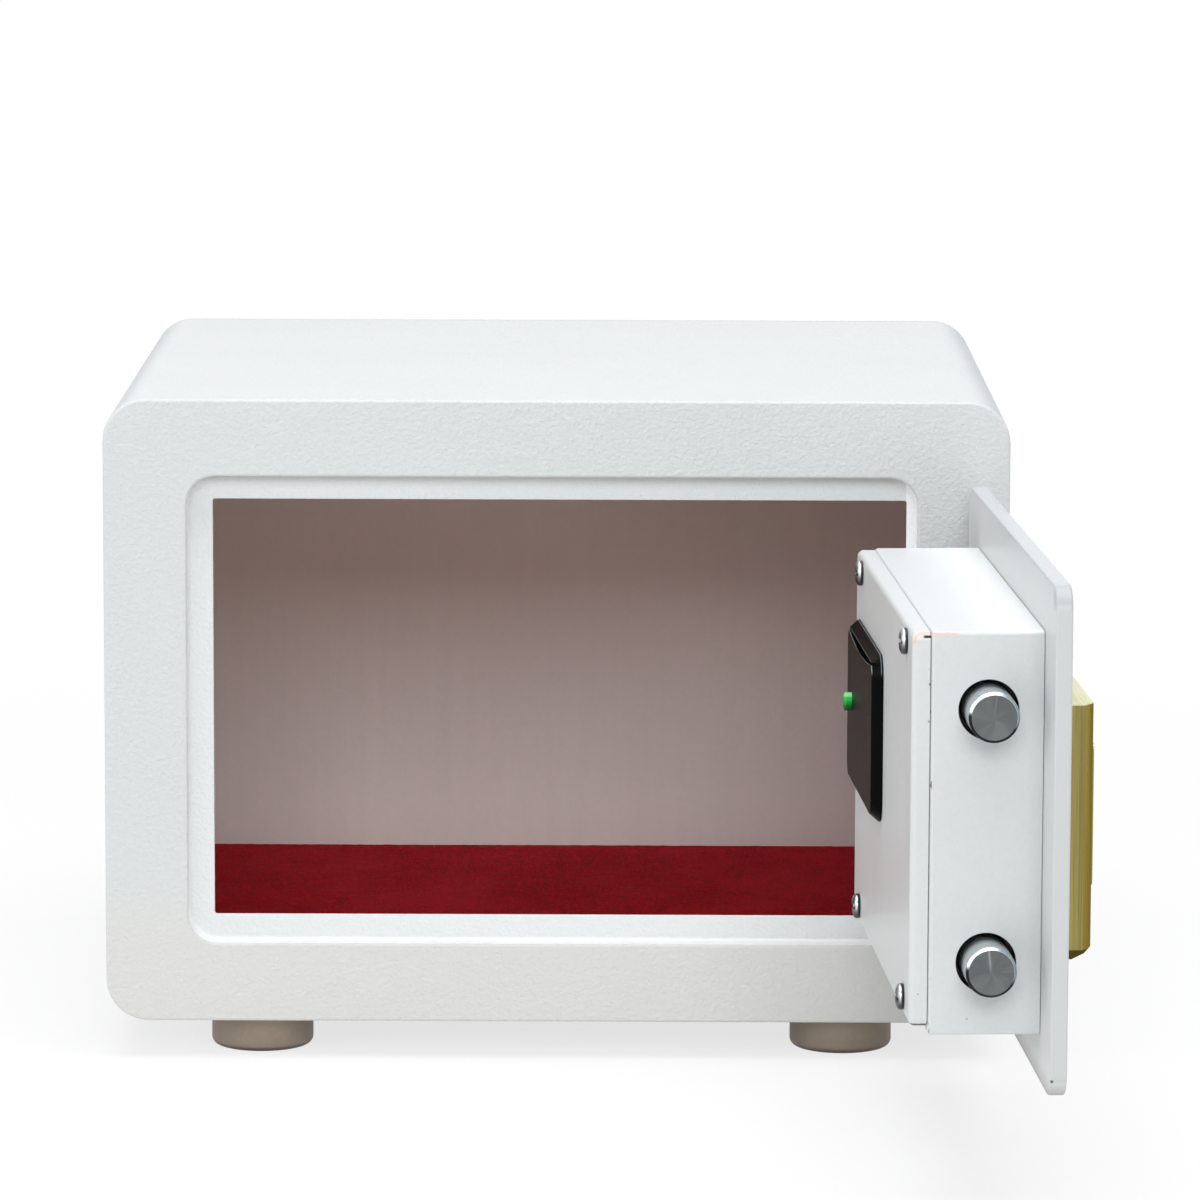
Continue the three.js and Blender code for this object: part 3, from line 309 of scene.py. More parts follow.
def joined(name, mesh, body, replaces, sharp=sharpEdge, width=None):
    # the mesh as a piece that rides on a body, on request with its edges rounded off
    tidied(mesh, sharp)
    piece = linked(name, mesh)
    if width:
        eased(piece, width)
    even = piece.modifiers.new("even", "WEIGHTED_NORMAL")
    even.keep_sharp = not width
    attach(piece, body)
    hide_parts(*replaces)
    return piece


def built(name, body, skins, slot, replaces, finish=None, sharp=sharpEdge, inside=None):
    # one object from closed skins; inside tells the faces that have the inner paint
    points, faces = [], []
    for more, quads in skins:
        offset = sum(len(p) for p in points)
        points.append(more)
        faces += [[k + offset for k in face] for face in quads]
    place = onCabinet if body == "cabinet" else onDoor
    mesh = bpy.data.meshes.new(name)
    mesh.from_pydata(place(np.vstack(points)).tolist(), [], faces)
    mesh.materials.append(finishes[finish or slot])
    if inside:
        mesh.materials.append(finishes["interior_paint"])
        marked = [1 if inside(k) else 0 for k in range(len(faces))]
        mesh.polygons.foreach_set("material_index", marked)
    return joined(name, mesh, body, replaces, sharp)


def softened(node, body, slot, width):
    # the CAD solid with its edges rounded off
    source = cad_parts[node]
    mesh = source.data.copy()
    mesh.transform(source.matrix_world)
    work = bmesh.new()
    work.from_mesh(mesh)
    bmesh.ops.remove_doubles(work, verts=work.verts, dist=2e-6)
    bmesh.ops.dissolve_limit(
        work, angle_limit=math.radians(0.5), verts=work.verts, edges=work.edges,
    )
    work.to_mesh(mesh)
    work.free()
    mesh.materials.clear()
    mesh.materials.append(finishes[slot])
    return joined(node + "Piece", mesh, body, [node], width=width)


def drill(axis, middle, radius, low, high, segments):
    # a closed round cutter
    profile = [(0.01, low), (radius, low), (radius, high), (0.01, high)]
    return skin(turned(axis, middle, profile, segments))


def carved(piece, cutters, place=onDoor):
    # takes the cutting skins out of a piece for good
    for points, faces in cutters:
        mesh = bpy.data.meshes.new("cutter")
        mesh.from_pydata(place(points).tolist(), [], faces)
        tidied(mesh)
        tool = linked("cutter", mesh)
        cut = piece.modifiers.new("cut", "BOOLEAN")
        cut.object, cut.operation, cut.solver = tool, "DIFFERENCE", "EXACT"
        piece.modifiers.move(len(piece.modifiers) - 1, 0)
        even = piece.modifiers.get("even")
        even.show_viewport = False
        graph = bpy.context.evaluated_depsgraph_get()
        result = bpy.data.meshes.new_from_object(piece.evaluated_get(graph))
        piece.modifiers.remove(piece.modifiers["cut"])
        even.show_viewport = True
        piece.data = result
        bpy.data.objects.remove(tool)
    piece.data.set_sharp_from_angle(angle=math.radians(sharpEdge))


# Paints, metals and plastics

def powderCoat(name, tint, gloss, coat, peelScale, depth, doorChipsAndShade=False, **more):
    # a sprayed coat with fine orange peel, a little duller where the film is thin; painted light
    # and shade by place are laid on its colour
    s, spot, place = onPiece(name, doorChipsAndShade)
    peel = s.noise(spot, peelScale, 2.0, 0.5, 0.35)
    cloud = s.noise(spot, 14, 3.0, 0.6)
    shade = [c * 0.97 for c in tint]
    colour = s.mix(s.ramp(cloud * 0.5 + peel * 0.5, 0.35, 0.65), shade, tint)
    roughness = gloss + 0.08 * (peel - 0.5) + 0.06 * (cloud - 0.5)
    height = peel
    if doorChipsAndShade:
        # the door's chips, and its painted light and shade
        colour, roughness, height = doorWearAndPaintedLight(s, spot, place, colour, roughness, height)
    else:
        # painted light and shade on the body
        colour = paintedLightOnBody(s, place, colour)
    return s.surface(colour, roughness, (height, depth, 0.9), coat=coat, coatRoughness=0.1, **more)


# places and tints of the body's painted light and shade, and of its warmer lower front
bodyLook = {
    "middle": (-0.01055, 0.1375), "side": (0.1445, 0.1435), "height": (0.0945, 0.0935),
    # painted light: the recess's walls and shelf and the opening's lower lip are paler
    "walls": ((-0.0097, -0.0088), (0.0013, 0.0008)),
    "shelf": ((-0.0088, -0.008), (0.0021, 0.0019)), "byHinges": (0.1262, 0.1268, 0.38, 1.0),
    "lip": (0.0552, (0.0009, 0.0006), (0.0015, 0.0016)), "thick": (0.93, 0.95, 0.95),
    # painted shadow under the recess's upper edge
    "paintedShadowBand": ((0.2245, 0.2292, 0.0, 0.75), (0.0006, 0.0012)), "paintedShadow": (0.36, 0.335, 0.28),
    # painted shade on the upper folds and the rear rim
    "fold": (-0.0089, 0.1585, 0.2425), "foldTurn": ((-0.0135, -0.002), (-0.006, 0.004)),
    "behind": (-0.0088, -0.0078), "rear": ((0.2825, 0.2885), (0.25, 0.257, 0.0, 0.5)),
    "dull": (0.4, 0.425, 0.455), "low": ((0.075, 0.045), (-0.0085, -0.0095)),
    "warm": (0.625, 0.628, 0.612),
}


def paintedLightOnBody(s, place, colour):
    # painted light and shade by place: the recess's walls and shelf, most beside the hinges, and
    # the lower lip of the opening are painted paler, as if lit; a painted shadow lies under the
    # recess's upper edge; painted shade greys the upper folds and the rear rim; the front is warmer
    # low down
    b = bodyLook
    x, y, z = place
    side = s.near(x, b["middle"][0], *b["side"])
    recess = side * s.near(z, b["middle"][1], *b["height"])
    walls = recess * s.both(y, y, b["walls"])
    lip = s.near(z, b["lip"][0], *b["lip"][1]) * s.ramp(y, *b["lip"][2])
    shelf = recess * s.both(y, y, b["shelf"]) * s.ramp(x, *b["byHinges"])
    # painted light: paler recess walls, shelf and lower lip
    thick = s.most(s.most(walls, lip * side), shelf)
    # painted shadow under the recess's upper edge
    paintedShadow = recess * s.both(z, y, b["paintedShadowBand"])
    aside, above = s.size(x - b["fold"][0]) - b["fold"][1], z - b["fold"][2]
    # painted shade on the rounded upper folds and on the rear rim
    dull = s.both(aside - above, above, b["foldTurn"])
    dull = s.most(dull * s.ramp(y, *b["behind"]), s.both(y, z, b["rear"])) * 0.5
    low = s.both(z, y, b["low"])
    return s.layered(
        colour, (low, b["warm"]), (dull, b["dull"]), (thick, b["thick"]), (paintedShadow, b["paintedShadow"]),
    )


boltLook = {
    "middle": 0.1353, "apart": 0.045, "y": 0.028, "end": (-0.1278, -0.1281),
    "face": ((0.118, 0.126, 0.129), (0.158, 0.168, 0.17)), "streak": (0.3, 0.33, 0.34),
    # painted shade and highlights for the chamfer and the shank
    "edge": ((0.02, 0.023, 0.027), (0.5, 0.57, 0.64), (0.78, 0.82, 0.85)),
    "shank": ((0.22, 0.25, 0.27), (0.55, 0.61, 0.64)),
}


def fromBolt(s, y, z):
    # the way up and out from the axis of the nearer bolt
    return s.size(z - boltLook["middle"]) - boltLook["apart"], y - boltLook["y"]


chipLook = {
    "seam": 0.0484, "end": (-0.1067, -0.1082), "top": 0.2079, "bottom": 0.0676, "face": 0.055,
    "arc": 0.0035, "inset": 0.0009, "reach": ((0.0062, 0.0035), (0.0375, 0.0405)),
    "primer": (0.8, 0.45, 0.35), "steel": (0.13, 0.11, 0.1),
    "gap": (0.0019, (0.0481, 0.0485), (0.0515, 0.0505)), "cut": (0.01078, 0.01062),
    "black": (0.01, 0.009, 0.008), "upright": ((0.2071, 0.2078), (0.0088, 0.0092)),
    # painted light on the box's top, palest next to the plate
    "shelter": (0.012, 0.042), "paintedLightByPlate": (0.8, 0.82, 0.83), "above": (0.64, 0.665, 0.685),
    # painted shade on the plate's top edge, its near end and its upper free corner
    "plateTop": ((0.2264, 0.2272), (0.0088, 0.0086)), "rim": (0.52, 0.545, 0.56),
    "plateEnd": (-0.1403, -0.1409), "paintedEndShade": (0.545, 0.562, 0.56),
    "bend": (-0.1317, 0.2181, 0.0045), "paintedCornerShade": (0.43, 0.455, 0.475),
    # darker towards the bottom of the plate
    "lowerEdge": ((0.056, 0.0476, 0.0, 0.55), (0.0494, 0.048, 0.0, 0.8)),
    "lowerEdgeTint": (0.26, 0.25, 0.235),
    "specks": (
        ((-0.1407, 0.0079, 0.0539), 1.0, 1.5), ((-0.1112, 0.0345, 0.0702), 0.5, 1.0),
        ((-0.1107, 0.0518, 0.0791), 0.5, 1.0),
    ),
}


def doorWearAndPaintedLight(s, spot, place, colour, roughness, height):
    # the door's own wear: bare primer round the upper near corner with a gap beside the seam, a
    # frayed lower edge, small flakes along the seam, single specks; painted light on the box's top,
    # palest next to the plate; painted shade on the plate's top edge, its near end and its upper
    # free corner and a painted shadow on the walls of the bolt holes; the plate is darker towards
    # its bottom
    c = chipLook
    x, y, z = place
    nearEnd = s.ramp(x, *c["end"])
    rough = s.noise(spot, 900, 2.0)
    arc, fromTop = c["arc"], c["top"] - z
    a, b = [s.most(arc - away, 0.0) for away in (c["face"] - y, fromTop)]
    along = s.size(arc - s.length(a, b) - c["inset"])
    line = s.ramp(along + 0.0007 * (rough - 0.5), 0.0006, 0.0003)
    bare = line * s.both(fromTop, y, c["reach"]) * nearEnd
    flakes = s.ramp(s.noise(s.scaled(spot, 1, 1, 0.5), 330, 3.0, 0.6), 0.63, 0.67)
    flakes = flakes * s.near(y, c["seam"], 0.0011, 0.0003) * nearEnd
    frayed = s.ramp(s.size(z - c["bottom"]) + 0.0006 * (rough - 0.5), 0.001, 0.0005)
    frayed = frayed * nearEnd * s.ramp(y, c["seam"], c["seam"] + 0.0004)
    steel = s.most(flakes, frayed)
    for middle, share, size in c["specks"]:
        offset = s.add("VectorMath", {"operation": "DISTANCE"}, {0: spot, 1: middle}, 1)
        speck = s.ramp(offset + 0.0003 * rough, 0.0006 * size, 0.0004 * size)
        steel = s.most(steel, speck * share)
    depth, *ends = c["gap"]
    gap = s.near(fromTop, depth, 0.0006, 0.0003) * s.both(y, y, ends) * nearEnd
    # painted shadow: the walls of the bolt holes are black
    holeWallShadow = s.ramp(s.length(*fromBolt(s, y, z)), *c["cut"])
    # painted light on the box's top; painted shade on the plate's top edge
    upright, plateTop = s.both(z, y, c["upright"]), s.both(z, y, c["plateTop"])
    # painted shade on the plate's upper free corner
    bend = s.maths("MINIMUM", c["bend"][0] - x, z - c["bend"][1])
    colour = s.layered(
        colour, (upright, s.mix(s.ramp(y, *c["shelter"]), c["paintedLightByPlate"], c["above"])),
        # painted shade on the plate's top edge and near end
        (plateTop, c["rim"]), (s.ramp(x, *c["plateEnd"]), c["paintedEndShade"]),
        (s.ramp(bend, 0.0, c["bend"][2]), c["paintedCornerShade"]),
        # darker towards the bottom of the plate
        *[(s.ramp(z, *levels), c["lowerEdgeTint"]) for levels in c["lowerEdge"]],
        (bare * 0.65, c["primer"]), (steel, c["steel"]), (s.most(gap, holeWallShadow), c["black"]),
    )
    worn = s.most(bare, steel)
    return colour, roughness + worn * 0.3, height - worn * 0.8


insideLook = {
    # painted shade: darker and browner high up and towards the upper right
    "rise": (0.06, 0.2), "taupe": ((0.92, 0.915, 0.88), (0.84, 0.775, 0.7)),
    "corner": (0.155, 0.255), "deep": (0.53, 0.45, 0.41),
    "behind": (0.2893, 0.2897), "white": (0.62, 0.638, 0.641),
}


def interiorCoat(name):
    # the unlit inside: dull taupe with fine runs, painted with shade that makes it browner and
    # darker high up and towards the upper right, and greyer and paler near the mat; the rear is
    # white like the body
    c = insideLook
    s, spot, (x, y, z) = onPiece(name)
    peel = s.noise(spot, 420, 2.0, 0.6)
    cloud = s.noise(spot, 9, 3.0, 0.6)
    runs = s.noise(s.scaled(spot, 1, 1, 0.06), 160, 2.0, 0.5)
    # painted shade: browner and darker high up, greyer near the mat
    colour = s.mix(s.ramp(z + 0.05 * (cloud - 0.5), *c["rise"]), *c["taupe"])
    # painted shade towards the upper right
    corner = s.ramp(x * 0.6 + z + 0.02 * (cloud - 0.5), *c["corner"])
    colour = s.mix(corner * 0.6, colour, c["deep"])
    colour = s.mix(s.ramp(y, *c["behind"]), colour, c["white"])
    shade = 0.94 + 0.06 * peel + 0.06 * runs
    shades = s.add("CombineXYZ", None, {0: shade, 1: shade, 2: shade})
    colour = s.mix(1.0, colour, shades, "MULTIPLY")
    return s.surface(colour, 0.55 + 0.12 * (peel - 0.5), (peel + runs * 0.4, 0.00012, 0.6))


def felt(name):
    # pressed wool: fine fibres that cross one another, with paler lint
    s, spot, _ = onPiece(name)
    fibres = [
        s.noise(s.scaled(spot, *stretch), 900, 3.0, 0.65, 1.2)
        for stretch in ((1, 0.28, 1), (0.3, 1, 1))
    ]
    tangle = s.most(*fibres)
    worn = s.noise(spot, 16, 3.0, 0.6)
    lint = s.ramp(s.noise(s.scaled(spot, 1, 0.2, 1), 520, 2.0, 0.5, 2.5), 0.7, 0.78)
    colour = s.mix(s.ramp(tangle, 0.42, 0.72), (0.3, 0.004, 0.012), (0.78, 0.014, 0.034))
    matted = s.ramp(worn, 0.35, 0.7) * 0.35
    colour = s.layered(colour, (matted, (0.82, 0.035, 0.055)), (lint * 0.2, (0.8, 0.2, 0.2)))
    return s.surface(colour, 0.95, (tangle + lint * 0.2, 0.0006, 0.8), level=0.12)


def moulded(name, tint, gloss, grain, depth, door=False, paintedShadeBelow=None, **more):
    # moulded plastic: spark-eroded grain, faint flow marks, rubbed spots and, on request, a lower
    # rim darkened with painted shade
    s, spot, place = onPiece(name, door)
    speck = s.noise(spot, grain, 2.0)
    flow = s.noise(spot, 22, 3.0, 0.6, 0.6)
    scratch = s.noise(s.scaled(spot, 1, 1, 0.12), 700, 2.0, 0.5, 0.4)
    rub = s.ramp(scratch, 0.62, 0.7) * s.ramp(flow, 0.4, 0.65)
    low = [c * 0.86 for c in tint]
    colour = s.mix(s.ramp(flow * 0.7 + speck * 0.3, 0.35, 0.65), low, tint)
    # painted shade on the lower rim
    if paintedShadeBelow:
        colour = s.mix(s.ramp(place[2], paintedShadeBelow[0], paintedShadeBelow[0] * 0.3), colour, paintedShadeBelow[1])
    roughness = gloss + 0.1 * (speck - 0.5) + rub * 0.15
    return s.surface(colour, roughness, (speck, depth, 0.7), **more)


lidLook = {
    # painted highlights along the rim, the upper edge and the slot's lip
    "rim": ((0.0556, 0.0557, 0.0, 0.6), (0.05598, 0.05588)),
    "edge": ((0.05888, 0.05896), (0.05919, 0.05917)), "lip": (0.1799, 0.1802, 1.0, 0.3),
    "worn": (0.1755, 0.1775), "tints": ((0.0005, 0.0005, 0.0007), (0.0012, 0.0012, 0.0016)),
    "pale": (0.26, 0.29, 0.31),
}


def lidPlastic(name):
    # black grained plastic with painted highlights: paler lines along its rim, its upper edge and
    # the slot's lip, near its top only
    c = lidLook
    s, spot, (_, y, z) = onPiece(name, True)
    speck = s.noise(spot, 1100, 2.0)
    flow = s.noise(spot, 60, 3.0, 0.6, 0.6)
    # painted highlights along the rim, the upper edge and the slot's lip, near the top only
    edge = s.both(y, y, c["edge"]) * s.ramp(z, *c["lip"])
    worn = s.most(s.both(y, y, c["rim"]), edge) * s.ramp(flow, 0.3, 0.5, 0.5, 1.0)
    worn = worn * s.ramp(z, *c["worn"])
    colour = s.mix(s.ramp(speck, 0.4, 0.7), *c["tints"])
    colour = s.mix(worn, colour, c["pale"])
    roughness = 0.34 + 0.1 * (speck - 0.5) + worn * 0.1
    return s.surface(colour, roughness, (speck, 0.00005, 0.7), level=0.04)


buttonLook = {
    "lit": (0.1508, 0.1552), "spark": ((0.1551, 0.1564), 0.0729, (0.0003, 0.001)),
    "tints": ((0.001, 0.06, 0.005), (0.012, 0.5, 0.05)), "glint": (0.4, 0.85, 0.45),
}


def buttonPlastic(name):
    # clear green plastic, with painted light above, painted shade below and a painted glint near
    # the top
    c = buttonLook
    s, spot, (x, _, z) = onPiece(name, True)
    height = z + 0.0006 * (s.noise(spot, 500, 2.0) - 0.5)
    # painted light above and painted shade below
    colour = s.mix(s.ramp(height, *c["lit"]), *c["tints"])
    high, middle, wide = c["spark"]
    # painted glint near the top
    spark = s.ramp(height, *high) * s.near(x, middle, *wide)
    colour = s.mix(spark * 0.75, colour, c["glint"])
    return s.surface(colour, 0.26 + 0.1 * spark, (height, 0.0002, 0.3), level=0.25)


def brushed(name, tint, gloss, stretch, fine, dull=0.8, depth=0.00004, ends=None, **more):
    # rubbed metal, with streaks along the direction in which stretch is smallest; on request it
    # is pale and lacquered on top and darkened with painted shade at its lower end
    s, spot, place = onPiece(name, True)
    streak = s.noise(s.scaled(spot, *stretch), fine, 3.0, 0.6)
    broad = s.noise(s.scaled(spot, *stretch), fine / 5, 2.0, 0.5)
    tarnish = s.noise(spot, 60, 3.0, 0.6)
    dark = [c * dull for c in tint]
    colour = s.mix(s.ramp(streak * 0.5 + broad * 0.5, 0.38, 0.62), dark, tint)
    colour = s.mix(s.ramp(tarnish, 0.55, 0.75) * 0.3, colour, [c * 0.7 for c in tint])
    roughness = gloss + 0.16 * (streak - 0.5) + 0.12 * (tarnish - 0.5)
    metallic = 1.0
    if ends:
        line = s.ramp(s.noise(s.scaled(spot, 0.02, 1, 1), 1500, 2.0), 0.35, 0.6)
        above = s.ramp(place[2], ends["top"] - 0.0004, ends["top"])
        streaked = s.mix(line, [c * 0.8 for c in ends["pale"]], ends["pale"])
        # painted shade at the lower end
        paintedShadeBelow = s.ramp(place[2], ends["low"] + 0.0044, ends["low"] + 0.0038)
        colour = s.layered(colour, (above, streaked), (paintedShadeBelow, ends["dark"]))
        metallic = s.ramp(above, 0.0, 1.0, 1.0, 0.1)
    return s.surface(colour, roughness, (streak, depth, 0.7), metallic=metallic, **more)


def plated(name, tint, gloss, spangle=240):
    # zinc or nickel plate, with a faint crystal pattern and handling marks
    s, spot, _ = onPiece(name)
    crystal = s.add("TexVoronoi", None, {"Vector": spot, "Scale": spangle}, "Color")
    tone = s.parts(crystal)[0]
    marks = s.noise(spot, 90, 4.0, 0.65)
    colour = s.mix(tone, [c * 0.88 for c in tint], tint)
    colour = s.mix(s.ramp(marks, 0.55, 0.72) * 0.4, colour, [c * 0.62 for c in tint])
    roughness = gloss + 0.08 * (tone - 0.5) + 0.2 * s.ramp(marks, 0.5, 0.75)
    return s.surface(colour, roughness, (marks, 0.00005, 0.5), metallic=1.0)


def turnedSteel(name):
    # bolt stock: fine rings round the shank, with a painted highlight on its upper side; a chamfer
    # with a painted highlight above and painted shade below; a dull faced end with one brighter
    # streak from its middle
    b = boltLook
    s, _, (x, y, z) = onPiece(name, True)
    upper = s.ramp(z - b["middle"], -0.001, 0.001)
    up, out = fromBolt(s, y, z)
    up = up * (upper * 2.0 - 1.0)
    away = s.length(up, out, 1e-9)
    end = s.ramp(x, *b["end"])
    flat = end * s.ramp(away, 0.0081, 0.0079)
    angle = s.maths("ARCTAN2", up + upper * 0.0007, out)
    fan = s.add("CombineXYZ", None, {0: angle * 0.8, 1: away * 40.0, 2: upper * 7.0})
    tone = s.noise(fan, 1.4, 3.0)
    face = s.mix(s.ramp(tone, 0.3, 0.7), *b["face"])
    tilt = s.size(out - up * (0.1 - upper * 0.24) - 0.0002)
    streak = s.ramp(tilt, 0.0006, 0.0) * s.ramp(up, -0.001, 0.004) * (0.9 - upper * 0.65)
    face = s.mix(streak, face, b["streak"])
    # painted highlight and shade round the chamfer
    lit = s.ramp((up * 0.93 - out * 0.3) / away, -0.25, 0.15)
    shine = s.mix(s.ramp(out / away, -0.5, 0.35), *b["edge"][1:])
    edge = s.mix(lit, b["edge"][0], shine)
    turns = s.noise(s.add("CombineXYZ", None, {0: x * 4000.0, 1: up * 20.0, 2: out * 20.0}), 1.0)
    # painted highlight on the shank's upper side
    glint = s.ramp((up * 0.8 + out * 0.6) / away + 0.1 * (turns - 0.5), -0.2, 0.9)
    shank = s.mix(glint, *b["shank"])
    colour = s.mix(end, shank, s.mix(flat, edge, face))
    lathe = s.maths("SINE", away * 26000.0)
    height = s.mix(flat, turns, lathe * 0.2 + tone * 0.3)
    roughness = 0.22 + 0.1 * turns + flat * 0.16
    return s.surface(colour, roughness, (height, 0.00002, 0.5), metallic=1.0)


screwLook = {
    "middle": (-0.0075, 0.138), "apart": (0.084, 0.0637), "seat": 0.0552,
    # tints of the painted reflections and shade on the heads
    "rim": (0.06, 0.065, 0.07), "low": (0.075, 0.08, 0.08), "grey": (0.4, 0.42, 0.42),
    "high": (0.74, 0.78, 0.8), "slot": (0.02, 0.02, 0.02),
    "band": ((0.0009, 0.0011), (0.0017, 0.0014)),
}


def headPlate(name):
    # zinc on a pan head, with painted reflections: a bright crescent above and grey fading to dark
    # below; painted shade in the cross and a dark line of painted shade where the rim meets the
    # cover
    c = screwLook
    s, spot, (x, y, z) = onPiece(name, True)
    aside, above = x - c["middle"][0], z - c["middle"][1]
    u = s.size(aside) - c["apart"][0]
    v = (s.size(above) - c["apart"][1]) * s.maths("SIGN", above)
    away = s.length(u, v, 1e-9)
    high = y - c["seat"]
    marks = s.noise(spot, 700, 3.0, 0.6)
    # painted reflection: grey above, dark below
    lit = s.ramp(v + 0.0012 * (marks - 0.5), -0.0032, 0.001)
    lit = lit * s.ramp(high, 0.0024, 0.0019, 0.25, 1.0)
    # painted highlight: the bright crescent
    band = s.both(high, high, c["band"]) * s.ramp(v, -0.0014, 0.0008)
    dome = 0.0026 - away * away * 62.0
    # painted shade in the cross
    shadedCross = s.ramp(dome - high, 0.00025, 0.0006) * s.ramp(away, 0.0042, 0.0038)
    colour = s.layered(
        s.mix(lit, c["low"], c["grey"]), (band, c["high"]),
        # dark painted shade at the rim and in the cross
        (s.ramp(high, 0.001, 0.0007), c["rim"]), (shadedCross, c["slot"]),
    )
    roughness = 0.24 + 0.2 * marks + shadedCross * 0.3
    return s.surface(colour, roughness, (marks, 0.00004, 0.6), metallic=1.0)


def acetalWithPaintedShadow(name):
    # moulded bearing plastic, pale, turned black by painted shadow round each bolt and a little
    # less rough there
    s, spot, (_, y, z) = onPiece(name, True)
    speck = s.noise(spot, 500, 2.0)
    away = s.length(*fromBolt(s, y, z)) + 0.0006 * (s.noise(spot, 300, 2.0) - 0.5)
    # painted shadow round each bolt
    shadedRing = s.ramp(away, 0.0122, 0.0113)
    colour = s.mix(speck, (0.7, 0.69, 0.63), (0.78, 0.77, 0.71))
    colour = s.mix(shadedRing, colour, (0.008, 0.0075, 0.007))
    roughness = 0.38 + 0.1 * (speck - 0.5) - shadedRing * 0.08
    return s.surface(colour, roughness, (speck, 0.00003, 0.7), level=0.3)


def circuit(name):
    # green solder mask over copper tracks, with bare pads
    s, spot, (x, _, z) = onPiece(name, True)
    tracks = s.maths("PINGPONG", x + s.maths("PINGPONG", z, 0.006) * 0.7, 0.0011)
    copper = s.ramp(tracks, 0.00075, 0.0008)
    grid = s.add("TexVoronoi", None, {"Vector": s.scaled(spot, 1, 0, 1), "Scale": 300})
    pads = s.ramp(grid, 0.16, 0.13)
    colour = s.mix(copper, (0.012, 0.07, 0.028), (0.03, 0.15, 0.055))
    colour = s.mix(pads, colour, (0.6, 0.58, 0.5))
    roughness = 0.32 + pads * 0.1
    return s.surface(colour, roughness, (copper + pads, 0.00004, 0.8), coat=0.3)


def fibreboard(name):
    s, spot, _ = onPiece(name)
    chipsOfWood = s.noise(s.scaled(spot, 1, 0.35, 1), 420, 4.0, 0.7, 0.8)
    patch = s.noise(spot, 30, 2.0)
    colour = s.mix(s.ramp(chipsOfWood, 0.35, 0.7), (0.3, 0.2, 0.11), (0.52, 0.4, 0.26))
    colour = s.mix(patch * 0.3, colour, (0.4, 0.3, 0.2))
    return s.surface(colour, 0.85, (chipsOfWood, 0.0002, 0.6))


def cellJacket(name):
    # a shrink sleeve with one plain band, bare metal at both ends
    s, spot, (_, _, z) = onPiece(name, True)
    middle = 0.1513
    metal = s.near(z, middle, 0.0238, 0.0241)
    band = s.ramp(z - middle, 0.0105, 0.0108)
    ink = s.noise(spot, 900, 2.0)
    colour = s.mix(band, (0.018, 0.03, 0.075), (0.5, 0.34, 0.12))
    colour = s.mix(metal, colour, (0.62, 0.61, 0.58))
    roughness = 0.28 + 0.06 * ink
    height = metal * -0.5 + ink * 0.1
    return s.surface(colour, roughness, (height, 0.0001, 0.6), metallic=metal, coat=0.3)


# by slot, but for the screws and the figures
finishes = {
    "body_paint": powderCoat("bodyPaint", (0.62, 0.638, 0.641), 0.4, 0.0, 640, 0.0005, level=0.2),
    "door_paint": powderCoat(
        "doorPaint", (0.63, 0.65, 0.65), 0.36, 0.05, 500, 0.00013, True, level=0.3,
    ),
    "interior_paint": interiorCoat("interiorPaint"),
    "mat_felt": felt("matFelt"),
    "floor_fibreboard": fibreboard("floorFibreboard"),
    # the feet carry painted shade on their lower rim
    "foot_plastic": moulded(
        "footPlastic", (0.31, 0.248, 0.19), 0.5, 700, 0.00008, paintedShadeBelow=(0.0024, (0.06, 0.045, 0.035)),
    ),
    "hinge_steel": moulded("hingePaint", (0.34, 0.34, 0.33), 0.42, 500, 0.0001),
    "pin_zinc": plated("zincPlate", (0.7, 0.71, 0.72), 0.24),
    "screwHead": headPlate("screwZinc"),
    "bolt_steel": turnedSteel("boltSteel"),
    "bolt_work_steel": plated("boltWorkSteel", (0.6, 0.6, 0.56), 0.32, 160),
    # black painted shadow round the bolts
    "bush_acetal": acetalWithPaintedShadow("acetal"),
    "pinion_brass": brushed("pinionBrass", (0.72, 0.52, 0.22), 0.24, (1, 1, 1), 900),
    "motor_steel": brushed("motorCan", (0.66, 0.65, 0.62), 0.26, (0.05, 1, 0.05), 1800),
    "circuit_board": circuit("circuitBoard"),
    "tray_plastic": moulded("trayPlastic", (0.022, 0.022, 0.025), 0.46, 800, 0.00008),
    "cell_jacket": cellJacket("cellJacket"),
    "cover_plastic": lidPlastic("lidPlastic"),
    "button_plastic": buttonPlastic("buttonPlastic"),
    "panel_brass": brushed(
        "panelBrass", (0.36, 0.3, 0.1), 0.3, (1, 1, 0.012), 2200, 0.66, 0.00006,
        # the panel's lower end is darkened with painted shade
        {"top": 0.1801, "low": 0.0884, "pale": (0.74, 0.73, 0.45), "dark": (0.07, 0.055, 0.025)},
        edgeTint=(0.78, 0.64, 0.38, 1),
    ),
    "key_plastic": moulded(
        "keyPlastic", (0.66, 0.63, 0.55), 0.36, 700, 0.00004, door=True, coat=0.2,
    ),
    "figureInk": moulded("figureInk", (0.02, 0.02, 0.022), 0.4, 900, 0.00002),
    "lens_plastic": moulded("lensPlastic", (0.05, 0.004, 0.005), 0.08, 300, 0.00001, coat=1.0),
    "barrel_chrome": plated("barrelChrome", (0.78, 0.78, 0.79), 0.12, 90),
}
print("finishes made")

# Cabinet

cabinet = {
    "outer": (-175, 175, 15, 259), "corner": 16.5, "depth": 300, "sheet": 2,
    "edge": 1.2, "rearEdge": 0.6,
    "recess": (-142.7, 139.4, 45.9, 229.1), "recessCorner": 11, "recessDepth": 11.5,
    "foldRadius": 1.1, "floorFillet": 0.8,
    "opening": (-133.2, 135.6, 55.2, 219.0), "openingCorner": 0.9, "openingEdge": 0.4,
    "anchors": (90, 210), "anchorRadius": 5,
}


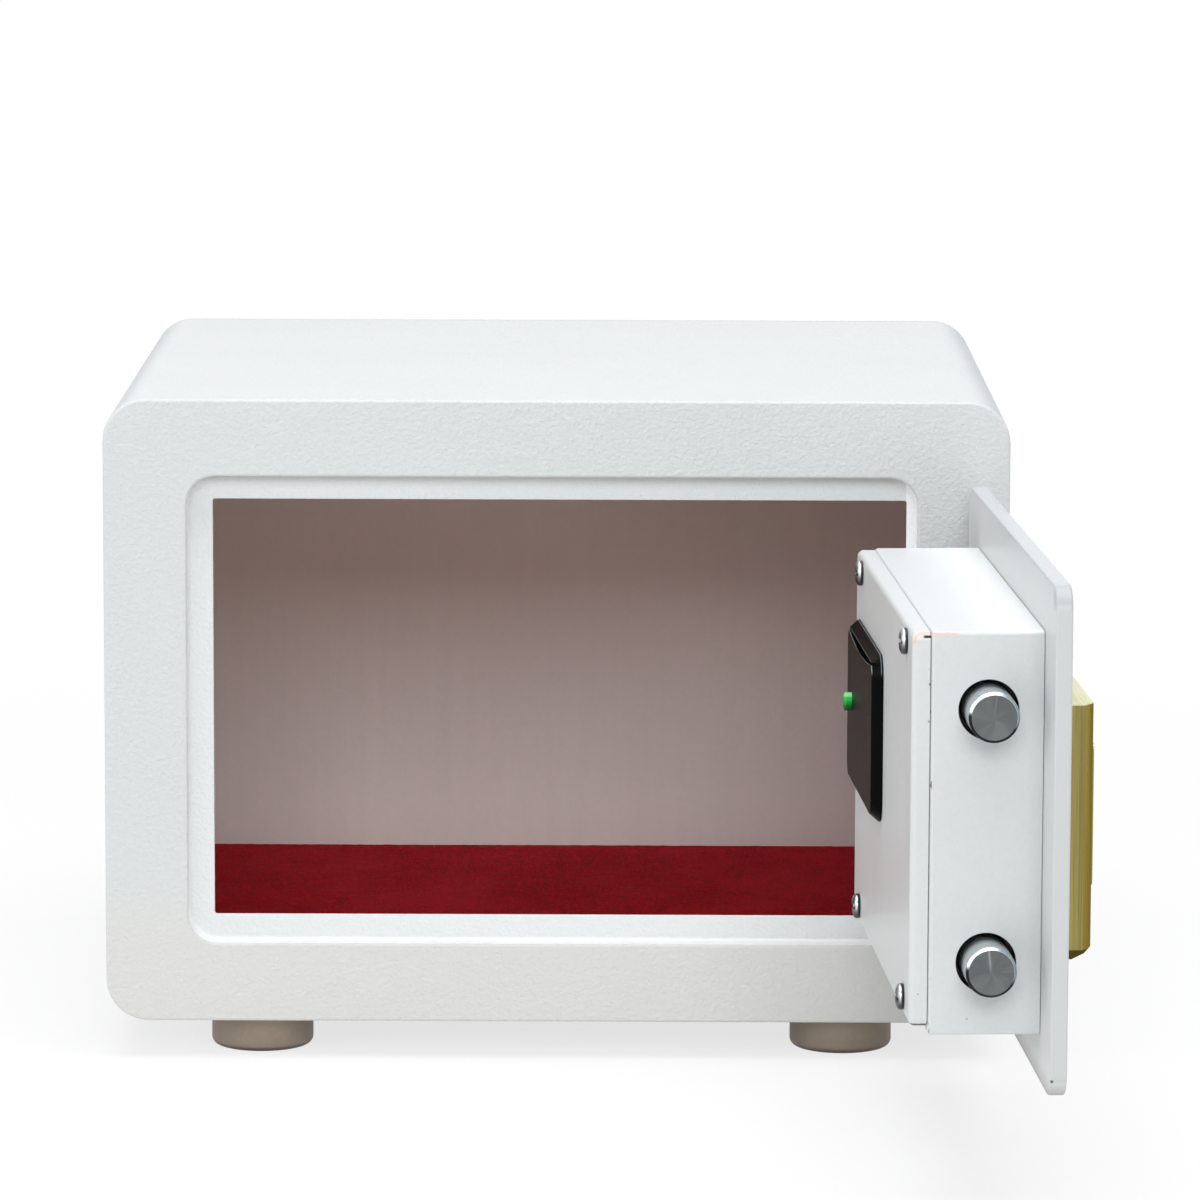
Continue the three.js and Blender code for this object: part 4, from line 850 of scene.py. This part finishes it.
def makeHull():
    # one sheet-steel skin, followed from the rear edge over the outside, into the recess,
    # round the edge of the opening and back along the inside
    c = cabinet
    depth, sheet, floor = picked(c, "depth sheet recessDepth")
    rear, edge, bend, fillet, lip = picked(c, "rearEdge edge foldRadius floorFillet openingEdge")
    outside, recess = picked(c, "outer corner"), picked(c, "recess recessCorner")
    rings = sweep(*outside, [
        *fold(-rear, depth - rear, rear, 90, 0, 3), (0, 225), (0, 150), (0, 75),
        *fold(-edge, edge, edge, 0, -90, 5),
    ])
    rings += sweep(*recess, [
        *fold(bend, bend, bend, -90, -180, 6), *fold(-fillet, floor - fillet, fillet, 0, 90, 4),
    ])
    rings += sweep(c["opening"], c["openingCorner"], [
        *fold(lip, floor + lip, lip, -90, -180, 3),
        *fold(lip, floor + sheet - lip, lip, 180, 90, 3),
    ])
    start, size = len(rings) - 1, len(rings[0])
    rings += sweep(*recess, [(sheet, floor + sheet), (sheet, sheet)])
    rings += sweep(*outside, [(-sheet, y) for y in (sheet, 150, depth)])
    stop = len(rings) - 1
    piece = built(
        "cabinetHull", "cabinet", [skin(rings, closed=True)], "body_paint",
        ["body_shell", "front_frame"], inside=lambda k: start * size <= k < stop * size,
    )
    low = c["outer"][2]
    carved(piece, [
        drill("z", (0, y, 0), c["anchorRadius"], low - 1, low + 3, 48) for y in c["anchors"]
    ], onCabinet)


foot = {
    "radius": 20, "round": 3, "height": 14.8, "stem": 4, "stemTop": 16.8, "rim": 0.6,
    "hollow": ((0.01, 1.2), (7, 1.2), (7.6, 0.7), (8, 0.0)),
    "places": {
        "front_left": (-115.65, 31), "front_right": (112.35, 31),
        "rear_left": (-115.65, 269), "rear_right": (112.35, 269),
    },
}


def makeFoot(name, x, y):
    f = foot
    radius, turn, top, rim, stem, end = picked(f, "radius round height rim stem stemTop")
    profile = [
        *f["hollow"], *fold(radius - turn, turn, turn, -90, 0, 8), (radius, 9),
        (radius, top - rim), (radius - rim, top), (stem, top), (stem, end), (0.01, end),
    ]
    rows = turned("z", (x, y, 0), profile, 72)
    built(name + "Piece", "cabinet", [skin(rows)], "foot_plastic", [name])


mat = {
    "side": 160.3, "front": 14.1, "rear": 296.9, "low": 28.0, "top": 30.7, "grid": (150, 132),
    "rise": 0.22, "waves": ((0.031, 0.022, 0.4), (0.057, 0.049, 1.9), (0.013, 0.071, 3.1)),
    "tuft": 0.035, "pressed": (0.9, 0.8),
}


def makeMat():
    # a felt sheet: its top undulates by a few tenths, and its rim is pressed round
    m = mat
    rows, columns = m["grid"]
    x = np.linspace(-m["side"], m["side"], rows)[:, None] * np.ones(columns)
    y = np.linspace(m["front"], m["rear"], columns)[None, :] * np.ones((rows, 1))
    wave = sum(
        np.sin(x * a + phase) * np.cos(y * b + 1.7 * phase) for a, b, phase in m["waves"]
    ) / 3
    tufts = np.random.default_rng(4).normal(0, m["tuft"], (rows, columns))
    rim = np.minimum(np.minimum(m["side"] - abs(x), y - m["front"]), m["rear"] - y)
    drop = m["pressed"][0] * np.exp(-rim / m["pressed"][1])
    top = np.stack([x, y, m["top"] - m["rise"] * (1 - wave) / 2 - drop + tufts * (rim > 0)], -1)
    low = np.stack([x, y, np.full_like(x, m["low"])], -1)
    shape = sheetSkin(top, low)
    piece = built("feltMatPiece", "cabinet", [shape], "mat_felt", ["felt_mat"], sharp=60)


makeHull()
for footName, footPlace in foot["places"].items():
    makeFoot("foot_" + footName, *footPlace)
makeMat()
print("cabinet made")

# Door: plate, box and cover

plate = {
    "area": (-141.2, 137.9, 47.4, 227.6), "corners": (9.5, 13, 13, 9.5),
    "front": 2.5, "back": 8.5, "ease": 0.8, "hole": (10.8, 135.3, 7.2), "holeEase": 0.3,
    "leanFront": 0.5, "leanBack": 3.8,
}


def makePlate():
    p = plate
    front, back, ease, e = picked(p, "front back ease holeEase")
    rings = sweep(p["area"], p["corners"], [
        *fold(-ease, front + ease, ease, -90, 0, 4), *fold(-ease, back - ease, ease, 0, 90, 4),
    ], arc=12, edges=14)
    x, z, radius = p["hole"]
    hole = [
        circle(x, y, z, radius + grow, rings[0])
        for y, grow in ((back, e), (back - e, 0), (front + e, 0), (front, e))
    ]
    rows = np.array(rings + hole)
    depth = (rows[..., 1] - front) / (back - front)
    lean = p["leanFront"] + (p["leanBack"] - p["leanFront"]) * depth
    rows[..., 0] = np.minimum(rows[..., 0], p["area"][1] - lean)
    built("doorPlatePiece", "door", [skin(rows, closed=True)], "door_paint", ["door_plate"])


doorBox = {
    "area": (-111.2, 100.3, 64.3, 208.0), "corner": 1.5, "front": 8.7, "back": 48.4,
    "sheet": 1.5, "bend": 1.5, "lip": 15, "lipEdge": 0.3,
    "boltY": 28.0, "boltZ": (180.3, 90.3), "holeRadius": 10.6,
}


def makeBox():
    b = doorBox
    front, back, sheet, bend, lip, e = picked(b, "front back sheet bend lip lipEdge")
    rings = sweep(b["area"], b["corner"], [
        (0, front), *fold(-bend, back - bend, bend, 0, 90, 5), (-lip + e, back), (-lip, back - e),
        (-lip, back - sheet), (-sheet, back - sheet), (-sheet, front),
    ])
    piece = built("doorBoxPiece", "door", [skin(rings, closed=True)], "door_paint", ["door_box"])
    x = b["area"][0]
    carved(piece, [
        drill("x", (0, b["boltY"], z), b["holeRadius"], x - 5, x + 5, 72) for z in b["boltZ"]
    ])


cover = {
    "area": (-110.7, 99.8, 67.3, 207.6), "corner": 3.2, "front": 48.6, "back": 55.0,
    "sheet": 1.2, "bend": 2.4, "bay": (-2.5, 60.3, 122.9, 179.7),
}


def makeCover():
    c = cover
    area, corner, front, back, sheet, bend = picked(c, "area corner front back sheet bend")
    rings = sweep(area, corner, [(0, front), *fold(-bend, back - bend, bend, 0, 90, 5)])
    rings += sweep(c["bay"], 0.5, [(0, back), (0, back - sheet)])
    rings += sweep(area, corner, [(-sheet, back - sheet), (-sheet, front)])
    built("innerCoverPiece", "door", [skin(rings, closed=True)], "door_paint", ["inner_cover"])


makePlate()
makeBox()
makeCover()
print("door sheets made")

screw = {
    "radius": 4.75, "height": 2.6, "wall": 0.9, "shank": 2, "length": 10, "seat": 55.2,
    "slotLength": 7.6, "slotWidth": 1.4, "slotDepth": 1.5,
    "places": {  # x, z and the cross's turn in degrees
        "hinge_top": (76.5, 201.7, 5), "hinge_bottom": (76.5, 74.3, -8),
        "free_top": (-91.5, 201.7, -4), "free_bottom": (-91.5, 74.3, 9),
    },
}


def makeScrew(name, x, z, turn):
    # a pan head: its height falls off as an ellipse, less a cross-shaped driver recess
    s = screw
    radius, wall, shank, length = picked(s, "radius wall shank length")
    reach = np.concatenate([np.linspace(0.01, 0.62, 22), np.linspace(0.66, 1, 12)])
    dome = wall + (s["height"] - wall) * np.sqrt(np.clip(1 - reach ** 3.2, 0, 1))
    profile = [(r * radius, h) for r, h in zip(reach, dome)]
    profile += [(radius, 0.15), (radius - 0.15, 0), (shank, 0)]
    for k in range(9):
        profile += [(shank, -0.3 - k), (shank - 0.35, -0.8 - k)]
    profile += [(0.5, -length), (0.01, -length)]
    rows = turned("y", (0, 0, 0), profile, 96)
    head = rows[:len(reach)]
    a = math.radians(turn)
    u = head[..., 0] * math.cos(a) + head[..., 2] * math.sin(a)
    v = head[..., 2] * math.cos(a) - head[..., 0] * math.sin(a)
    def arm(along, across):
        long = np.clip((s["slotLength"] / 2 - abs(along)) / 0.5 + 0.5, 0, 1)
        wide = np.clip((s["slotWidth"] / 2 - abs(across)) / 0.25 + 0.5, 0, 1)
        return long * wide
    head[..., 1] -= s["slotDepth"] * np.maximum(arm(u, v), arm(v, u))
    rows += np.array([x, s["seat"], z])
    built(name + "Piece", "door", [skin(rows)], "pin_zinc", [name], "screwHead", sharp=50)


lid = {
    "area": (-9.71, 91.29, 120.9, 183.1), "corner": 8.5, "base": 55.2, "thickness": 4.0,
    "rim": 0.5, "bevel": 3.0, "wall": 1.6, "slot": (3.6, 0.1), "buttonHole": (72.89, 153.5, 3.8),
    "clips": {"x": 28.9, "levels": (123.7, 178.9), "length": 12, "thickness": 1, "from": 51.2},
    "ease": 0.18,
}


def makeLid():
    # a chamfered slab, hollow behind, with a slot whose outer wall sinks in a parabola
    l, c = lid, lid["clips"]
    base, bevel, wall = picked(l, "base bevel wall")
    x0, x1, z0, z1 = l["area"]
    rim, top = base + l["rim"], base + l["thickness"]
    skins = [skin(sweep(l["area"], l["corner"], [
        (-0.15, base), (0, base + 0.1), (0, rim), (-0.12, rim + 0.22), (0.12 - bevel, top - 0.2),
        (-bevel - 0.05, top - 0.05), (-bevel - 0.35, top),
    ], edges=20))]
    half, thin = c["length"] / 2, c["thickness"] / 2
    for z in c["levels"]:
        bar = (c["x"] - half, c["x"] + half, z - thin, z + thin)
        ends = [(0, c["from"]), (0, base + wall / 2)]
        skins.append(skin(sweep(bar, 0.3, ends, arc=2, edges=2)))
    name = "battery_cover"
    piece = built("batteryCoverPiece", name, skins, "cover_plastic", [name], sharp=50)
    deep, shallow = l["slot"]
    share = np.linspace(-1, 1, 41)
    middle, half = (x0 + x1) / 2, (x1 - x0) / 2 + 1
    slotTop = z1 - bevel
    arc = slotTop - deep + (deep - shallow) * share ** 2
    edge = np.column_stack([
        np.append(middle + half * share, [middle + half, middle - half]),
        np.append(arc, [slotTop, slotTop]),
    ])
    inset = bevel + wall
    hollow = outline((x0 + inset, x1 - inset, z0 + inset, slotTop - deep - wall), [0.5] * 4, 3, 2)
    x, z, radius = l["buttonHole"]
    turn = np.linspace(0, 2 * math.pi, 48, endpoint=False)
    hole = np.column_stack([x + radius * np.cos(turn), z + radius * np.sin(turn)])
    carved(piece, [
        skin([atDepth(flat, low), atDepth(flat, high)]) for flat, low, high in (
            (edge, base + wall, top + 1), (hollow, base - 1, top - wall),
            (hole, base - 2, top + 1),
        )
    ])
    eased(piece, l["ease"], 60)
    piece.modifiers.move(len(piece.modifiers) - 1, 0)


button = {
    "x": 72.89, "z": 153.5, "radius": 3.5, "heel": 48.3, "top": 62.2, "round": 0.8, "rise": 0.25,
}


def makeButton():
    b = button
    radius, heel, top, turn, rise = picked(b, "radius heel top round rise")
    profile = [
        (0.01, heel), (radius - 0.3, heel), (radius, heel + 0.3),
        *[
            (radius - turn * (1 - math.cos(t)), top - rise - turn * (1 - math.sin(t)))
            for t in np.radians(np.linspace(0, 90, 7))
        ],
        *[(r, top - rise * (r / radius) ** 2) for r in (2.2, 1.6, 1.0, 0.5, 0.01)],
    ]
    rows = turned("y", (b["x"], 0, b["z"]), profile, 48)
    built("resetButtonPiece", "reset_button", [skin(rows)], "button_plastic", ["reset_button"])


bolt = {
    "y": 28.0, "levels": {"bolt_upper": 180.3, "bolt_lower": 90.3}, "tip": -129.2,
    "heel": -69.2, "tail": -64.8, "radius": 9, "chamfer": 0.95, "tailRadius": 4, "dish": 0.12,
}


def makeBolt(name, z):
    b = bolt
    radius, tip, heel, tail, thin = picked(b, "radius tip heel tail tailRadius")
    inner, back = radius - b["chamfer"], tip + b["chamfer"]
    profile = [
        *[(r, tip + b["dish"] * (1 - (r / inner) ** 2)) for r in (0.01, 2, 4, 6, inner - 0.3)],
        (inner - 0.05, tip), (inner + 0.1, tip + 0.06), (radius - 0.1, back - 0.12),
        (radius, back + 0.1), *[(radius, x) for x in (-118, -106, -94, -82)],
        (radius, heel - 0.4), (radius - 0.4, heel), (thin, heel),
        (thin, tail - 0.3), (thin - 0.3, tail), (0.01, tail),
    ]
    rows = turned("x", (0, b["y"], z), profile, 80)
    built(name + "Piece", "bolts", [skin(rows)], "bolt_steel", [name], sharp=30)


for screwName, screwPlace in screw["places"].items():
    makeScrew("cover_screw_" + screwName, *screwPlace)
makeLid()
makeButton()
for boltName, boltLevel in bolt["levels"].items():
    makeBolt(boltName, boltLevel)
print("fittings made")

# Keypad face

keypad = {
    "x": -44.2, "z": 137.1, "pitch": (22, 11.6), "size": (18, 8.6), "corner": 1.5,
    "top": -13.6, "shoulder": -10.4, "heel": -9.2, "flange": 1, "round": 0.45,
    "dish": ((-1.0, 0.04), (-1.7, 0.11), (-2.5, 0.17), (-3.4, 0.2), (-4.1, 0.2)),
    "rows": ("123", "456", "789", "*0#"), "names": {"*": "star", "#": "hash"},
    "figure": 5.4, "inkTop": -13.47, "inkLow": -13.36,
}


def makeKey(sign, x, z):
    # a cap with a rounded rim and a dished top, standing on a wider flange
    k = keypad
    name = "key_" + k["names"].get(sign, sign)
    width, height = k["size"]
    area = (x - width / 2, x + width / 2, z - height / 2, z + height / 2)
    top, edge, shoulder, flange = picked(k, "top round shoulder flange")
    rings = sweep(area, k["corner"], [
        (flange, k["heel"]), (flange, shoulder), (0, shoulder),
        *fold(-edge, top + edge, edge, 0, -90, 4), *[(by, top + sink) for by, sink in k["dish"]],
    ], arc=6, edges=4)
    built(name + "Piece", name, [skin(rings)], "key_plastic", [name])
    makeFigure(name, sign, x, z)


def makeFigure(name, sign, x, z):
    # a printed figure, as a thin mesh on the key's dished top
    k = keypad
    words = bpy.data.curves.new(name + "Figure", "FONT")
    words.body, words.align_x, words.align_y = sign, "CENTER", "CENTER"
    words.size, words.extrude = k["figure"], (k["inkLow"] - k["inkTop"]) / 2
    words.resolution_u = 6
    holder = linked(name + "Words", words)
    graph = bpy.context.evaluated_depsgraph_get()
    mesh = bpy.data.meshes.new_from_object(holder.evaluated_get(graph))
    bpy.data.objects.remove(holder)
    flat = np.empty(len(mesh.vertices) * 3)
    mesh.vertices.foreach_get("co", flat)
    flat = flat.reshape(-1, 3)
    flat -= (flat.max(0) + flat.min(0)) / 2
    depth = (k["inkTop"] + k["inkLow"]) / 2 - flat[:, 2]
    points = onDoor(np.column_stack([x + flat[:, 0], depth, z + flat[:, 1]]))
    mesh.vertices.foreach_set("co", points.ravel())
    mesh.materials.clear()
    mesh.materials.append(finishes["figureInk"])
    tidied(mesh)
    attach(linked(name + "Figure", mesh), name)


lens = {
    "area": (-56.2, -32.2, 167.1, 172.1), "corner": 2.5, "top": -11.3, "rear": -8.0,
    "heel": -7.0, "flange": 1,
    "crown": ((-0.06, 0.24), (-0.2, 0.14), (-0.5, 0.07), (-1.0, 0.025), (-1.6, 0.0), (-2.25, 0.0)),
}


def makeLens():
    area, corner, flange, heel, rear, top = picked(lens, "area corner flange heel rear top")
    rings = sweep(area, corner, [
        (flange, heel), (flange, rear), (0, rear), (0, top + 0.4),
        *[(by, top + sink) for by, sink in lens["crown"]],
    ], arc=10, edges=6)
    name = "indicator_lens"
    built("indicatorLensPiece", "door", [skin(rings)], "lens_plastic", [name], sharp=60)


barrel = {
    "x": 10.8, "z": 135.3, "front": -12.4, "rear": 23.5, "flange": 9.5, "seat": -10.9,
    "radius": 7, "bore": 4.3,
}


def makeBarrel():
    # a polished flange with a sunk ring round the plug, on a threaded barrel
    b = barrel
    front, rear, flange, seat, radius, bore = picked(b, "front rear flange seat radius bore")
    profile = [
        (bore, front + 0.5), (bore + 0.15, front + 0.2), (bore + 0.5, front), (5.9, front),
        (6.1, front + 0.25), (6.9, front + 0.25), (7.1, front), (flange - 0.9, front + 0.05),
        (flange - 0.35, front + 0.25), (flange - 0.08, front + 0.6), (flange, front + 0.9),
        (flange, seat - 0.1), (flange - 0.1, seat), (radius, seat),
    ]
    for k in range(30):
        y = seat + 1 + k * 1.1
        profile += [(radius, y), (radius - 0.35, y + 0.55)]
    profile += [(radius, rear - 0.5), (radius - 0.3, rear), (bore, rear)]
    rows = skin(turned("y", (b["x"], 0, b["z"]), profile, 72), closed=True)
    built("overrideBarrelPiece", "door", [rows], "barrel_chrome", ["override_barrel"], sharp=50)


for row, signs in enumerate(keypad["rows"]):
    for column, sign in enumerate(signs):
        makeKey(
            sign, keypad["x"] + (column - 1) * keypad["pitch"][0],
            keypad["z"] + (1.5 - row) * keypad["pitch"][1],
        )
makeLens()
makeBarrel()
softened("keypad_housing", "door", "panel_brass", 0.4)
softened("override_plug", "override_plug", "pinion_brass", 0.2)
print("keypad made")

# What the cabinet and the door hold out of sight keeps its CAD solid, with eased edges

hidden = (
    ("hinge_steel", 0.5, "cabinet", "hinge_bracket_upper hinge_bracket_lower"),
    ("hinge_steel", 0.5, "door", "hinge_arm_upper hinge_arm_lower"),
    ("pin_zinc", 0.25, "cabinet", "hinge_pin_upper hinge_pin_lower"),
    ("pin_zinc", 0.25, "door", "gear_axle"),
    ("interior_paint", 0.3, "cabinet", "back_panel"),
    ("floor_fibreboard", 0.4, "cabinet", "floor_board"),
    ("bolt_work_steel", 0.25, "bolts", "bolt_bar"),
    ("bolt_work_steel", 0.25, "door", "bolt_guide gear_plate"),
    ("bush_acetal", 0.2, "door", "bolt_bush_upper bolt_bush_lower"),
    ("bush_acetal", 0.2, "drive_gear", "drive_gear"),
    ("pinion_brass", 0.12, "motor_pinion", "motor_pinion"),
    ("motor_steel", 0.5, "door", "lock_motor"),
    ("circuit_board", 0.15, "door", "control_board key_board"),
    ("tray_plastic", 0.3, "door", "battery_tray reset_switch"),
    ("cell_jacket", 0.35, "door", "battery_cell_1 battery_cell_2 battery_cell_3 battery_cell_4"),
)
for slotName, ease, bodyName, nodeNames in hidden:
    for nodeName in nodeNames.split():
        softened(nodeName, bodyName, slotName, ease)
print("hidden parts made")

# Stage, light and camera

floor = {
    "half": 9.0, "glow": (0.32, 1.1, 0.74, 1.0), "paper": ((0.86, 0.86, 0.86), (0.88, 0.88, 0.88)),
}


def makeFloor():
    # white paper, which hides its shadows where it is seen, the more the farther away
    h = floor["half"]
    mesh = bpy.data.meshes.new("floor")
    mesh.from_pydata([(-h, -h, 0), (h, -h, 0), (h, h, 0), (-h, h, 0)], [], [(0, 1, 2, 3)])
    s, spot, (x, y, _) = onPiece("floorPaper")
    colour = s.mix(s.noise(spot, 60, 2.0), *floor["paper"])
    paper = s.add("BsdfDiffuse", None, {"Color": colour})
    glow = s.add("Emission", None, {"Color": (1, 1, 1, 1), "Strength": 1.0})
    share = s.looked() * s.ramp(s.length(x, y), *floor["glow"])
    mesh.materials.append(s.end(s.add("MixShader", None, {0: share, 1: paper, 2: glow})))
    linked("floor", mesh)


sky = {"light": ((0.97, 0.985, 1, 1), 0.42), "backdrop": ((1, 1, 1, 1), 1.0)}


def makeSky():
    world = bpy.data.worlds.new("studio")
    bpy.context.scene.world = world
    s = Shader("studio", world)
    light, backdrop = [
        s.add("Background", None, {"Color": colour, "Strength": strength})
        for colour, strength in sky.values()
    ]
    s.end(s.add("MixShader", None, {0: s.looked(), 1: light, 2: backdrop}))


lamps = {
    "key": {"at": (0.1, -2.8, 1.35), "size": (1.5, 0.9), "power": 28},
    "top": {"at": (0.1, -0.35, 2.3), "size": (2.2, 2.0), "power": 48},
    "side": {"at": (-2.4, -0.6, 0.9), "size": (1.2, 1.4), "power": 13},
}


def makeLamp(name, at, size, power):
    # an area lamp turned to the middle of the safe
    light = bpy.data.lights.new(name, "AREA")
    light.shape, light.size, light.size_y, light.energy = "RECTANGLE", *size, power
    lamp = linked(name, light)
    lamp.location = at
    lamp.rotation_euler = (Vector((0, 0, 0.13)) - Vector(at)).to_track_quat("-Z", "Y").to_euler()


camera = {
    "at": (0.012248, -2.546222, 0.555056), "pitch": 0.146238, "yaw": -0.0016431,
    "roll": 0.0034072, "lens": 198.976,
}


def makeCamera():
    c = camera
    yaw, pitch, roll = picked(c, "yaw pitch roll")
    level = math.cos(pitch)
    ahead = Vector((math.sin(yaw) * level, math.cos(yaw) * level, -math.sin(pitch)))
    right = Vector((math.cos(yaw), -math.sin(yaw), 0))
    up = right.cross(ahead)
    across = right * math.cos(roll) + up * math.sin(roll)
    over = up * math.cos(roll) - right * math.sin(roll)
    data = bpy.data.cameras.new("camera")
    data.lens, data.sensor_width, data.clip_end = c["lens"], 36, 60
    eye = linked("camera", data)
    turn = Matrix((across, over, -ahead)).transposed().to_4x4()
    eye.matrix_world = Matrix.Translation(c["at"]) @ turn
    bpy.context.scene.camera = eye


makeFloor()
makeSky()
for lampName, lampFacts in lamps.items():
    makeLamp(lampName, **lampFacts)
makeCamera()
bpy.context.scene.view_settings.view_transform = "Standard"
print("stage made")
